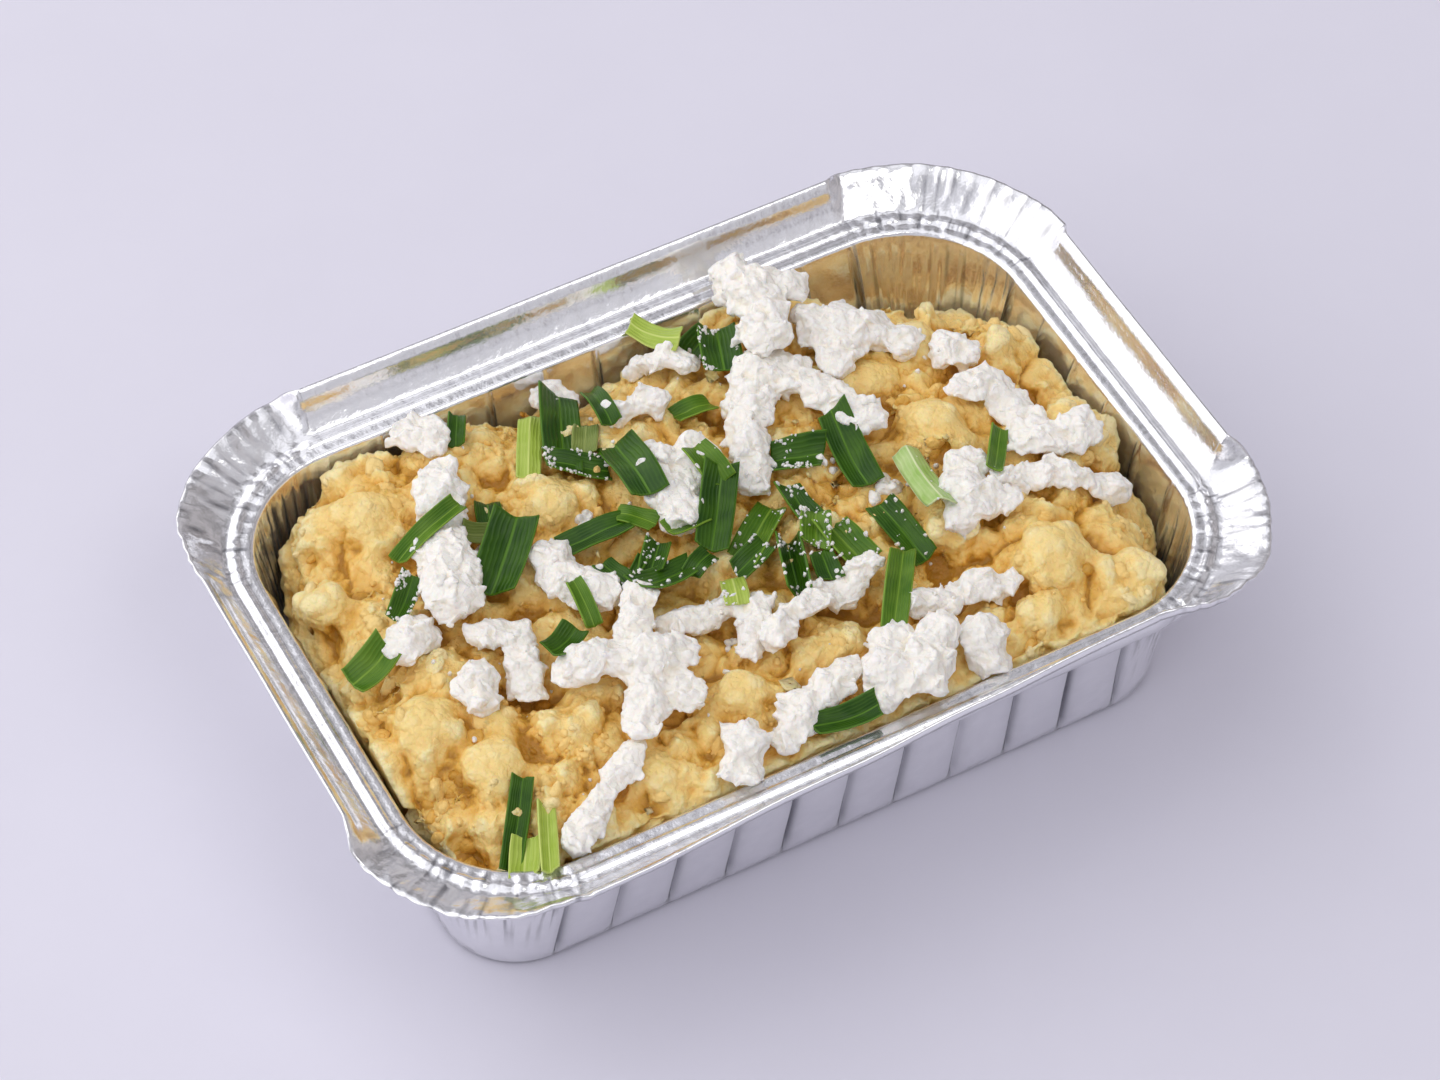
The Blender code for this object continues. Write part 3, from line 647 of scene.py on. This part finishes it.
def add_lumps(obj, material, density, smallest_mm, largest_mm, sink, seed, keep=True, shapes=lump_shapes):
    """Scatter lumps over an object's skin with the tree and bake them in."""
    modifier = obj.modifiers.new("lumps", "NODES")
    modifier.node_group = lump_tree
    values = {"Shapes": shapes, "Density": density, "Smallest": smallest_mm * MM, "Largest": largest_mm * MM,
              "Sink": sink, "Seed": seed, "Keep Skin": keep, "Material": material}
    for item in lump_tree.interface.items_tree:
        if item.in_out == "INPUT" and item.name in values:
            modifier[item.identifier] = values[item.name]
    settle_mesh(obj)


def crumbly_bump(tree, place, scale, depth, fine_scale, fine_depth):
    """Rounded grains with finer grain on them, as a normal, with the fine grain and the cells."""
    warp = add_node(tree, "ShaderNodeTexNoise", place, Scale=scale * 0.8, Detail=2.0)
    bent = math_node(tree, "MULTIPLY_ADD", warp.outputs["Color"], (1.2 / scale,) * 3, place,
                     kind="ShaderNodeVectorMath")
    cells = add_node(tree, "ShaderNodeTexVoronoi", bent, feature="F1", Scale=scale).outputs["Distance"]
    grains = add_node(tree, "ShaderNodeBump", invert=True, Strength=0.8, Distance=depth, Height=cells)
    rough = add_node(tree, "ShaderNodeTexNoise", place, Scale=fine_scale, Detail=4.0, Roughness=0.65)
    finer = add_node(tree, "ShaderNodeBump", Strength=0.7, Distance=fine_depth, Height=rough.outputs["Fac"],
                     Normal=grains.outputs["Normal"])
    return finer.outputs["Normal"], rough.outputs["Fac"], cells


potato_material, tree, shader = new_material("crushed potato")
place = add_node(tree, "ShaderNodeTexCoord").outputs["Object"]
cleft_shade = add_node(tree, "ShaderNodeAttribute", attribute_name="cleft_shade").outputs["Fac"]
broad = add_node(tree, "ShaderNodeTexNoise", place, Scale=70.0, Detail=3.0, Roughness=0.55)
normal, grain, cells = crumbly_bump(tree, place, 520.0, 0.0007, 900.0, 0.0006)
# Painted shade: the colour is darker in the clefts and between the grains, and paler on the rounded tops
between = math_node(tree, "MULTIPLY_ADD", cells, 0.10, cleft_shade)
tint = color_ramp(tree, math_node(tree, "MULTIPLY_ADD", broad.outputs["Fac"], 0.36, between), [
    (0.08, (0.98, 0.81, 0.42)), (0.30, (0.97, 0.71, 0.27)), (0.58, (0.94, 0.63, 0.20)),
    (0.80, (0.81, 0.46, 0.08)), (0.98, (0.48, 0.22, 0.015))])
set_node(tree, shader, Base_Color=tint, Roughness=map_range(tree, grain, 0.3, 0.7, 0.30, 0.6),
         Normal=normal, Subsurface_Weight=0.35, Subsurface_Radius=(1.0, 0.6, 0.2), Subsurface_Scale=0.0028)


def noise_at(points, cell):
    """Smooth noise at each of some points."""
    return np.array([noise.noise(Vector(point) / cell) for point in points])


def noise_ways(points, cell):
    """A smooth noise vector at each of some points."""
    return np.array([noise.noise_vector(Vector(point) / cell) for point in points])


def billow(points, cell, seed):
    """Rounded bumps with sharp clefts between them, about one for each cell, from 0 to 1."""
    heights = np.empty(len(points))
    for number, point in enumerate(points):
        nearest, second = noise.voronoi(Vector(point) / cell + Vector((seed, seed, seed)))[0][:2]
        dome = max(0.0, 1 - nearest * nearest * 1.6)
        heights[number] = 0.55 * dome + 0.45 * min(1.0, 2.0 * (second - nearest))
    return heights


def fuse_mesh(obj, voxel):
    """Turn an object's overlapping shells into one skin of even small faces."""
    modifier = obj.modifiers.new("fuse", "REMESH")
    modifier.mode = "VOXEL"
    modifier.voxel_size = voxel
    settle_mesh(obj)


def smooth_mesh(mesh, rounds, share):
    """Pull each vertex towards the mean of its neighbours a number of times."""
    mean = neighbour_mean(mesh)
    points = get_points(mesh)
    for _ in range(rounds):
        points = points * (1 - share) + mean(points) * share
    set_points(mesh, points)
    return points


def wall_side(points):
    """How far points lie inside the tray's wall at their own height, and the way towards it in plan."""
    opened = np.clip(points[:, 2] / MM / LEDGE_HEIGHT_MM, 0, 1)
    half_x, half_y, corner = [(low + (high - low) * opened) * MM for low, high in zip(BASE_MM, OPENING_MM)]
    dx = np.abs(points[:, 0]) - (half_x - corner)
    dy = np.abs(points[:, 1]) - (half_y - corner)
    round_corner = (dx > 0) & (dy > 0)
    apart = np.maximum(np.hypot(dx, dy), 1e-9)
    gap = corner - np.where(round_corner, apart, np.maximum(dx, dy))
    way_x = np.where(round_corner, dx / apart, dx > dy) * np.sign(points[:, 0])
    way_y = np.where(round_corner, dy / apart, dx <= dy) * np.sign(points[:, 1])
    return gap, np.stack([way_x, way_y, np.zeros(len(points))], axis=-1)


def away_from_lumps(points, start, least):
    """1 away from the smooth lumps, falling to the least value over each from a share of its radius."""
    share = np.ones(len(points))
    for x, y, radius, _ in SMOOTH_LUMPS_MM:
        near = np.hypot(points[:, 0] / MM - x, points[:, 1] / MM - y) / radius
        share *= least + (1 - least) * smooth_step((near - start) / 0.5)
    return share


def upper_faces(name, mesh, least):
    """An object of those faces of a mesh that look upwards."""
    upper = add_object(name, mesh.copy())
    shell = edit_mesh(upper.data)
    bmesh.ops.delete(shell, geom=[face for face in shell.faces if face.normal.z < least], context="FACES")
    keep_mesh(shell, upper.data)
    return upper


def lump_layers(source, layers, shapes):
    """Objects of the lumps alone, one for each layer scattered over a skin."""
    made = []
    for density, smallest_mm, largest_mm, sink, seed in layers:
        layer = add_object("layer", source.data.copy())
        add_lumps(layer, potato_material, density, smallest_mm, largest_mm, sink, seed, False, shapes)
        made.append(layer)
    return made


def merge_into(target, parts):
    """Put the meshes of some objects into one object and remove the others."""
    merged = edit_mesh(*[part.data for part in parts])
    target.data.clear_geometry()
    keep_mesh(merged, target.data)
    for part in parts:
        if part != target:
            bpy.data.objects.remove(part)


potato = node_copy("crushed_potato")
fuse_mesh(potato, VOXEL_POTATO)
smooth_mesh(potato.data, 14, 0.8)
top_faces = upper_faces("potato_top", potato.data, 0.3)
skin = get_points(top_faces.data)
cover = np.clip(0.5 + 2.2 * noise_at(skin, 17 * MM), 0.05, 1.0) * away_from_lumps(skin, 0.5, 0.0)
set_attribute(top_faces.data, "cover", cover)
parts = [potato]
for number, (x, y, radius, top) in enumerate(SMOOTH_LUMPS_MM):
    lump = bmesh.new()
    bmesh.ops.create_icosphere(lump, subdivisions=4, radius=radius)
    for vert in lump.verts:
        vert.co *= 1 + 0.10 * noise.noise(vert.co / (0.8 * radius) + Vector((number, 0, 0)))
        vert.co = Vector((vert.co.x + x, vert.co.y + y, vert.co.z * 0.8 + top - 0.8 * radius)) * MM
    parts.append(bpy.data.objects.new("layer", keep_mesh(lump, bpy.data.meshes.new("layer"))))
merge_into(potato, parts + lump_layers(top_faces, LUMP_LAYERS, lump_shapes))
bpy.data.objects.remove(top_faces)
fuse_mesh(potato, VOXEL_POTATO)

# Only the crust is kept: what lies well below the surface is never seen
crust = edit_mesh(potato.data)
skin_tree = BVHTree.FromBMesh(crust)
buried = []
for vert in crust.verts:
    above = skin_tree.ray_cast(vert.co + Vector((0, 0, 0.5 * MM)), Vector((0, 0, 1)))[3]
    if above is not None and above > CRUST_DEPTH:
        buried.append(vert)
bmesh.ops.delete(crust, geom=buried, context="VERTS")
keep_mesh(crust, potato.data)

# Chunks of three sizes, then finer noise, raise the skin; the smooth lumps and the wall's side stay calmer
skin = smooth_mesh(potato.data, 1, 0.6)
roughness = away_from_lumps(skin, 0.6, 0.35)
warp = noise_ways(skin, 6 * MM) * 1.6 * MM
patchy = np.clip(0.7 + 1.6 * noise_at(skin, 13 * MM), 0, 1.6)
rise = (4.6 * billow(skin + 1.5 * warp, 17.0 * MM, 2.0) + 1.5 * patchy * billow(skin + warp, 6.5 * MM, 1.0)
        + 1.2 * noise_at(skin, 5.0 * MM) + roughness * patchy * 0.65 * billow(skin + warp, 2.8 * MM, 5.0)
        - 3.7) * MM
fine_rise = 0.55 * noise_at(skin, 2.1 * MM) + 0.40 * noise_at(skin, 1.05 * MM)
rise += (0.5 + 0.5 * roughness) * fine_rise * MM
gap, _ = wall_side(skin)
rise *= smooth_step(gap / (2.5 * MM)) * roughness
skin = skin + get_points(potato.data, "normal") * rise[:, None]
gap, towards = wall_side(skin)
skin = skin - towards * np.maximum(HEAP_GAP_MM * MM - gap, 0)[:, None]
gap, towards = wall_side(skin)
shift = HEAP_SHIFT_MM * np.exp(-np.maximum(gap / MM - HEAP_GAP_MM, 0) / 4)
skin = skin + towards * (shift * MM)[:, None]
set_points(potato.data, skin)

# A skirt closes the crust down to the tray's base
crust = edit_mesh(potato.data)
rim = [edge for edge in crust.edges if edge.is_boundary]
skirt = bmesh.ops.extrude_edge_only(crust, edges=rim)["geom"]
for item in skirt:
    if isinstance(item, bmesh.types.BMVert):
        item.co = (item.co.x * 0.92, item.co.y * 0.87, 0.8 * MM)
bmesh.ops.holes_fill(crust, edges=[item for item in skirt if isinstance(item, bmesh.types.BMEdge)], sides=0)
bmesh.ops.recalc_face_normals(crust, faces=crust.faces)
keep_mesh(crust, potato.data)
potato.data.shade_smooth()
# Painted shade: how deep each place lies in a cleft, at three sizes, sets how dark its colour is
set_attribute(potato.data, "cleft_shade", 0.34 + 0.10 * hollow_depth(potato.data, 6, 0.40)
              + 0.26 * hollow_depth(potato.data, 40, 1.5) + 0.24 * hollow_depth(potato.data, 160, 3.5))
paint_mesh(potato.data, potato_material)
potato.name = "potato_heap"
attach(potato, "root")
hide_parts("crushed_potato")

crumb_bed = upper_faces("potato_crumbs", potato.data, 0.15)
skin = get_points(crumb_bed.data)
gap, _ = wall_side(skin)
cover = np.clip(0.30 + 3.2 * noise_at(skin, 11 * MM), 0.03, 1.0) * away_from_lumps(skin, 0.5, 0.1)
cover *= gap > 3 * MM
set_attribute(crumb_bed.data, "cover", cover)
merge_into(crumb_bed, lump_layers(crumb_bed, CRUMB_LAYERS, crumb_shapes))
crumb_bed.data.shade_smooth()
set_attribute(crumb_bed.data, "cleft_shade", np.full(len(crumb_bed.data.vertices), 0.20))
crumb_material = potato_material.copy()
crumb_material.name = "potato crumbs"
crumb_material.node_tree.nodes["Principled BSDF"].inputs["Subsurface Weight"].default_value = 0.0
paint_mesh(crumb_bed.data, crumb_material)
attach(crumb_bed, "root")


# Cheese: soft fresh curd cheese crumbled by hand over the potato, so each piece is a ragged string or
# clot of white curds pressed together
VOXEL_CHEESE = 0.45 * MM
CHEESE_GROWTH = -0.1 * MM

cheese_material, tree, shader = new_material("fresh cheese")
place = add_node(tree, "ShaderNodeTexCoord").outputs["Object"]
cleft_shade = add_node(tree, "ShaderNodeAttribute", attribute_name="cleft_shade").outputs["Fac"]
normal, _, cells = crumbly_bump(tree, place, 560.0, 0.0008, 1100.0, 0.0003)
# Painted shade: the curd is warmer and darker in its hollows and between its grains
tint = color_ramp(tree, math_node(tree, "MULTIPLY_ADD", cells, 0.25, cleft_shade), [
    (0.20, (0.995, 0.955, 0.89)), (0.55, (0.985, 0.93, 0.84)), (0.95, (0.92, 0.80, 0.62))])
set_node(tree, shader, Base_Color=tint, Roughness=0.55, Normal=normal, Subsurface_Weight=0.4,
         Subsurface_Radius=(1.0, 0.8, 0.6), Subsurface_Scale=0.0016)

cheese_names = sorted(name for name in frame["nodes"] if name.startswith("cheese_"))
curd_middles = []
for number, name in enumerate(cheese_names):
    low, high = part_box(name)
    curd_middles.append((Vector(low) + Vector(high)) / 2)
    curd = node_copy(name)
    set_points(curd.data, get_points(curd.data) + get_points(curd.data, "normal") * CHEESE_GROWTH)
    set_attribute(curd.data, "cover", np.ones(len(curd.data.vertices)))
    add_lumps(curd, cheese_material, 0.040e6, 1.1, 2.6, 0.35, 40 + number)
    set_attribute(curd.data, "cover", np.ones(len(curd.data.vertices)))
    add_lumps(curd, cheese_material, 0.22e6, 0.5, 1.2, 0.10, 80 + number)
    fuse_mesh(curd, VOXEL_CHEESE)
    skin = smooth_mesh(curd.data, 1, 0.3)
    ragged = noise_ways(skin, 4.5 * MM) * 1.5 + noise_ways(skin, 1.9 * MM) * 0.52
    rise = 0.2 * billow(skin, 2.4 * MM, 3.0) - 0.15
    spread_out = get_points(curd.data, "normal") * rise[:, None] * np.array((1.0, 1.0, 0.5))
    set_points(curd.data, skin + (spread_out + ragged * np.array((1.0, 1.0, 0.6))) * MM)
    curd.data.shade_smooth()
    # Painted shade: how deep each place lies in a hollow sets how dark the curd is
    set_attribute(curd.data, "cleft_shade", 0.3 + 0.2 * hollow_depth(curd.data, 6, 0.35)
                  + 0.2 * hollow_depth(curd.data, 24, 1.0))
    paint_mesh(curd.data, cheese_material)
    curd.name = name.replace("cheese", "curd")
    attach(curd, "root")
    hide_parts(name)

# Loose curds: x, y, length and width of the small pieces that lie apart from the strings
LOOSE_CURDS_MM = (
    (38, -4, 9, 7), (-25, 18, 5, 4), (-24, 0, 8, 6), (-4, 19, 5, 4), (8, -24, 6, 4), (-50, 22, 4, 3),
    (-12, -26, 4, 3), (30, 6, 5, 4), (44, 13, 4, 3), (-64, 10, 4, 3), (-2, -3, 6, 4), (20, 22, 5, 3),
)
CURD_CRUMBS = 90
CLOT_LUMPS = 7


def search_tree(mesh):
    """A search tree over a mesh's faces."""
    mesh.calc_loop_triangles()
    triangles = [tuple(triangle.vertices) for triangle in mesh.loop_triangles]
    return BVHTree.FromPolygons([vert.co.copy() for vert in mesh.vertices], triangles)


def pile_height(x, y):
    """The highest food surface over a place."""
    best = 0.0
    for tree in pile:
        hit = tree.ray_cast(Vector((x, y, 0.2)), Vector((0, 0, -1)))[0]
        if hit is not None:
            best = max(best, hit.z)
    return best


pile = [search_tree(potato.data), search_tree(crumb_bed.data)]
pile += [search_tree(bpy.data.objects[name.replace("cheese", "curd")].data) for name in cheese_names]
curd_spots = []
for x, y, length, width in LOOSE_CURDS_MM:
    for _ in range(CLOT_LUMPS):
        off_x, off_y = shape_rng.uniform(-0.4, 0.4) * length, shape_rng.uniform(-0.4, 0.4) * width
        curd_spots.append((x + off_x, y + off_y, shape_rng.uniform(0.22, 0.36) * width))
while len(curd_spots) < CLOT_LUMPS * len(LOOSE_CURDS_MM) + CURD_CRUMBS:
    x, y = shape_rng.uniform(-84, 84), shape_rng.uniform(-54, 54)
    near_curd = min(math.hypot(x - spot.x / MM, y - spot.y / MM) for spot in curd_middles)
    if 3 < near_curd < 16:
        curd_spots.append((x, y, shape_rng.uniform(0.4, 0.9)))
clots = bmesh.new()
for number, (x, y, size) in enumerate(curd_spots):
    spot = Vector((x * MM, y * MM, pile_height(x * MM, y * MM) + 0.25 * size * MM))
    turn = Matrix.Rotation(shape_rng.uniform(0, 6.283), 4, (shape_rng.random(), shape_rng.random(), 0.5))
    shape = crumb_shapes.objects[number % len(crumb_shapes.objects)].data.copy()
    shape.transform(Matrix.Translation(spot) @ turn @ Matrix.Scale(size * MM, 4))
    clots.from_mesh(shape)
    bpy.data.meshes.remove(shape)
loose_curds = add_object("loose_curds", keep_mesh(clots, bpy.data.meshes.new("loose_curds")))
fuse_mesh(loose_curds, 0.3 * MM)
smooth_mesh(loose_curds.data, 1, 0.4)
set_attribute(loose_curds.data, "cleft_shade", np.full(len(loose_curds.data.vertices), 0.25))
loose_curds.data.shade_smooth()
paint_mesh(loose_curds.data, cheese_material)
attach(loose_curds, "root")
pile.append(search_tree(loose_curds.data))


# Leek leaves: young green leaves sliced across into short strips. A strip keeps the leaf's lengthwise
# keel and its straight veins, and is lighter where it was cut. Some lie on wet curd and carry specks.
LEAF_SHEET = 0.42 * MM
LEAF_ROWS = 26
LEAF_COLUMNS = 15

# The angle, length and width that each packed strip was cut to, its look, then its curl, twist and specks
LEEK = (
    (62, 19, 6, "lime", 0.8, 0, 0), (66, 24, 9, "dark", 0.2, 0.3, 0), (84, 14, 5, "dark", 0.3, 0.3, 0),
    (-28, 14, 6, "dark", 0.5, 0.4, 0.9), (85, 21, 9, "dark", 0.3, -0.5, 0), (70, 8, 6, "dark", 0.2, 0, 0),
    (15, 18, 5, "mid", 0.3, 0.4, 0), (-14, 10, 6, "olive", 0.3, 0, 0), (46, 19, 11, "dark", 0.5, 0.3, 0),
    (-4, 16, 8, "dark", 0.2, -0.2, 0), (46, 12, 5, "dark", 0.4, 0.3, 0.8),
    (18, 11, 8, "mid", 0.5, 0.3, 0), (87, 11, 4, "mid", 0.4, 0.2, 0), (30, 10, 6, "dark", 0.3, 0.4, 0),
    (9, 14, 9, "dark", 0.4, -0.4, 0.15), (70, 9, 6, "lime", 0.7, 0, 0.2),
    (100, 10, 7, "mid", 0.3, 0.5, 0.1), (55, 20, 8, "dark", 0.2, 0.3, 0),
    (38, 17, 8, "mid", 0.3, -0.3, 0.1), (-20, 12, 9, "dark", 0.8, 0.4, 0.4),
    (87, 19, 8, "dark", 0.5, -0.4, 0), (92, 13, 6, "dark", 0.4, 0.3, 0.6),
    (100, 12, 9, "mid", 0.9, 0.4, 0.3), (70, 17, 6, "dark", 1.6, 0, 0.25),
    (82, 21, 7, "pale", -0.6, 0.2, 0.1), (96, 18, 7, "dark", 0.3, -0.3, 0.1),
    (54, 16, 4, "mid", 0.3, 0.2, 0), (55, 22, 6, "mid", 0.3, 0.2, 0), (-8, 15, 6, "dark", 0.4, 0.3, 0),
    (55, 20, 5, "dark", 0.3, 0.2, 0), (-64, 14, 6, "lime", 0.5, 0.2, 0),
)
# Loose strips: x, y, then the same values
LOOSE_LEEK = (
    (-15, 37, 60, 9, 6, "olive", 0.4, 0.2, 0), (-16, 10, -50, 9, 5, "mid", 0.3, 0.3, 0),
    (-28, -2, 100, 9, 6, "dark", 0.3, 0.4, 0), (-24, -4, 41, 11, 3, "dark", 0.4, 0.2, 0.7),
    (-18, -2, 50, 9, 6, "dark", 0.9, 0.3, 0.2), (-8, 3, 10, 9, 6, "mid", 0.3, 0.3, 0.1),
    (14, -21, 80, 8, 6, "dark", 0.3, 0.4, 0.3), (17, -11, 60, 10, 7, "mid", 0.5, -0.3, 0.4),
    (-77, -56, 60, 10, 7, "lime", 0.7, 0, 0), (-71, -55, 66, 17, 4, "lime", 0.4, 0.4, 0),
    (22, 53, 30, 12, 7, "dark", 0.4, -0.4, 0.1), (23, 44, 70, 13, 10, "dark", 1.0, 0.5, 0.7),
    (11, 35, 2, 9.5, 6, "mid", 0.4, 0.2, 0), (-39, 53, 62, 9, 4, "dark", 0.2, 0.3, 0),
    (-10, -8, 30, 8, 5, "dark", 0.3, 0.3, 0.4), (1, -11, 20, 10, 6, "dark", 0.4, -0.3, 0.5),
)
LEAF_COLORS = {
    "dark": ((0.016, 0.064, 0.002), (0.085, 0.20, 0.012)),
    "mid": ((0.055, 0.15, 0.006), (0.20, 0.34, 0.035)),
    "lime": ((0.33, 0.46, 0.05), (0.58, 0.68, 0.18)),
    "pale": ((0.30, 0.50, 0.10), (0.70, 0.78, 0.45)),
    "olive": ((0.14, 0.20, 0.035), (0.30, 0.36, 0.10)),
}

vein_tree = bpy.data.node_groups.new("leaf veins", "ShaderNodeTree")
add_sockets(vein_tree, "INPUT", Dark="Color", Light="Color", Veins="Float")
add_sockets(vein_tree, "OUTPUT", Color="Color", Height="Float")
given = add_node(vein_tree, "NodeGroupInput").outputs
leaf_map = add_node(vein_tree, "ShaderNodeUVMap", uv_map="leaf")
on_leaf = add_node(vein_tree, "ShaderNodeSeparateXYZ", leaf_map.outputs["UV"]).outputs
place = add_node(vein_tree, "ShaderNodeTexCoord").outputs["Object"]
drift = add_node(vein_tree, "ShaderNodeTexNoise", place, Scale=160.0, Detail=2.0).outputs["Fac"]
veins = math_node(vein_tree, "MULTIPLY", on_leaf["Y"], given["Veins"])
wander = math_node(vein_tree, "MULTIPLY_ADD", drift, 1.6, veins)
wave = math_node(vein_tree, "SINE", math_node(vein_tree, "MULTIPLY", wander, 2 * math.pi))
rib = map_range(vein_tree, wave, -0.4, 1.0)
aside = math_node(vein_tree, "ABSOLUTE", math_node(vein_tree, "SUBTRACT", on_leaf["Y"], 0.5))
lengthwise = math_node(vein_tree, "ABSOLUTE", math_node(vein_tree, "SUBTRACT", on_leaf["X"], 0.5))
keel = map_range(vein_tree, aside, 0.05, 0.015)
side_rim = map_range(vein_tree, aside, 0.47, 0.495)
cut_end = map_range(vein_tree, lengthwise, 0.475, 0.495, 0.0, 0.8)
patch = map_range(vein_tree, drift, 0.35, 0.75, 0.0, 0.5)
ribbed = math_node(vein_tree, "MULTIPLY_ADD", rib, 0.14, patch)
keeled = math_node(vein_tree, "MAXIMUM", ribbed, keel)
edged = add_node(vein_tree, "ShaderNodeMath", keeled, math_node(vein_tree, "MAXIMUM", side_rim, cut_end),
                 operation="MAXIMUM", use_clamp=True)
vein_color = mix_colors(vein_tree, edged.outputs["Value"], given["Dark"], given["Light"])
add_node(vein_tree, "NodeGroupOutput", vein_color, rib)

leaf_materials = {}
for look, (dark, light) in LEAF_COLORS.items():
    leaf_materials[look], tree, shader = new_material(look + " leek leaf")
    vein = add_node(tree, "ShaderNodeGroup", node_tree=vein_tree, Dark=(*dark, 1.0), Light=(*light, 1.0),
                    Veins=7.0 if look in ("lime", "pale") else 10.0)
    bump = add_node(tree, "ShaderNodeBump", Strength=0.35, Distance=0.0003, Height=vein.outputs["Height"])
    set_node(tree, shader, Base_Color=vein.outputs["Color"], Normal=bump.outputs["Normal"], Roughness=0.32,
             Specular_IOR_Level=0.2, Coat_Weight=0.08, Coat_Roughness=0.15)


def make_leaf(name, middle, shape, values, seed):
    """A strip with its keel, curl and twist, laid so that most of it is clear of the food below."""
    angle, length, width, look, curl, twist, specks = values
    turned = Matrix.Rotation(math.radians(angle), 4, "Z")
    rng = random.Random(seed)
    cut_a, cut_b = rng.uniform(-0.35, 0.35), rng.uniform(-0.35, 0.35)
    u, v = np.meshgrid(np.linspace(-1, 1, LEAF_ROWS), np.linspace(-1, 1, LEAF_COLUMNS), indexing="ij")
    rag = np.array([noise.noise(Vector((place * 2.2, seed, 0.5))) for place in v.ravel()]).reshape(v.shape)
    slant = v * np.where(u > 0, cut_a, cut_b) * width / 2 * np.abs(u)
    along = u * length / 2 + slant + 0.35 * rag * np.abs(u) ** 6
    side = v * width / 2 * (1 - 0.05 * u ** 2) * (1 - 0.06 * abs(curl))
    rise = (shape[0] + shape[1] * u + shape[2] * v + shape[3] * u ** 2
            + shape[4] * (np.sqrt(v ** 2 + 0.004) - 0.06)
            + 1.5 * curl * (v ** 2 - 0.4) + 1.4 * twist * u * v + 0.05 * np.cos(v * 16) * (1 - v ** 2)
            + 0.7 * noise_field(u * 1.1, v * 0.8, seed * 1.7))
    points = np.stack([along, side, rise], axis=-1).reshape(-1, 3) * MM
    points = np.array([turned @ Vector(point) for point in points]) + np.array(middle)
    index = np.arange(LEAF_ROWS * LEAF_COLUMNS).reshape(LEAF_ROWS, LEAF_COLUMNS)
    quads = np.stack([index[:-1, :-1], index[1:, :-1], index[1:, 1:], index[:-1, 1:]], axis=-1).reshape(-1, 4)
    sunk = np.array([pile_height(x, y) - z for x, y, z in points[::3]])
    points[:, 2] += np.clip(np.percentile(sunk, 90) + 0.25 * MM, -4 * MM, 4 * MM)
    mesh = bpy.data.meshes.new(name)
    mesh.from_pydata(points.tolist(), [], quads.tolist())
    set_uv(mesh, "leaf", np.stack([(u.ravel() + 1) / 2, (v.ravel() + 1) / 2], axis=-1))
    edge = smooth_step((np.maximum(np.abs(u), np.abs(v)).ravel() - 0.7) / 0.3)
    cover = specks * (edge * 1.2 + 1.6 * noise_at(points, 4 * MM) - 0.1)
    set_attribute(mesh, "cover", np.clip(cover, 0, 1))
    mesh.shade_smooth()
    leaf = add_object(name, mesh)
    pile.append(search_tree(mesh))
    if specks > 0:
        speck = add_object("speck", mesh.copy())
        add_lumps(speck, cheese_material, 2.4e6, 0.25, 0.8, -0.2, 100 + seed, False)
        speck_parts.append(speck)
    thicken(leaf, LEAF_SHEET, 0.0)
    settle_mesh(leaf)
    paint_mesh(leaf.data, leaf_materials[look])
    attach(leaf, "root")
    return leaf


speck_parts = []
for number, values in enumerate(LEEK, 1):
    node = f"leek_{number:02d}"
    angle, length, width = values[:3]
    low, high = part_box(node)
    middle = Vector(((low[0] + high[0]) / 2, (low[1] + high[1]) / 2, 0))
    cad_points = get_points(frame["nodes"][node].data) - np.array(middle)
    turn = math.radians(angle)
    along = (cad_points[:, 0] * math.cos(turn) + cad_points[:, 1] * math.sin(turn)) / (length / 2 * MM)
    across = (-cad_points[:, 0] * math.sin(turn) + cad_points[:, 1] * math.cos(turn)) / (width / 2 * MM)
    terms = np.stack([np.ones(len(along)), along, across, along ** 2, np.abs(across)], axis=-1)
    shape = np.linalg.lstsq(terms, cad_points[:, 2] / MM, rcond=None)[0]
    leaf = make_leaf(f"leaf_{number:02d}", middle, shape, values, number)
    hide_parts(node)
for number, (x, y, *values) in enumerate(LOOSE_LEEK, 1):
    rng = random.Random(200 + number)
    shape = (46.0, rng.uniform(-0.8, 0.8), rng.uniform(-0.7, 0.7), rng.uniform(-0.8, 0.2),
             rng.uniform(0.3, 1.4))
    make_leaf(f"loose_leaf_{number:02d}", (x * MM, y * MM, 0), shape, values, 60 + number)
curd_specks = add_object("curd_specks", bpy.data.meshes.new("curd_specks"))
merge_into(curd_specks, speck_parts)
set_attribute(curd_specks.data, "cleft_shade", np.full(len(curd_specks.data.vertices), 0.2))
curd_specks.data.materials.append(cheese_material)
curd_specks.data.shade_smooth()
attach(curd_specks, "root")

for shape in [*lump_shapes.objects, *crumb_shapes.objects]:
    bpy.data.objects.remove(shape)
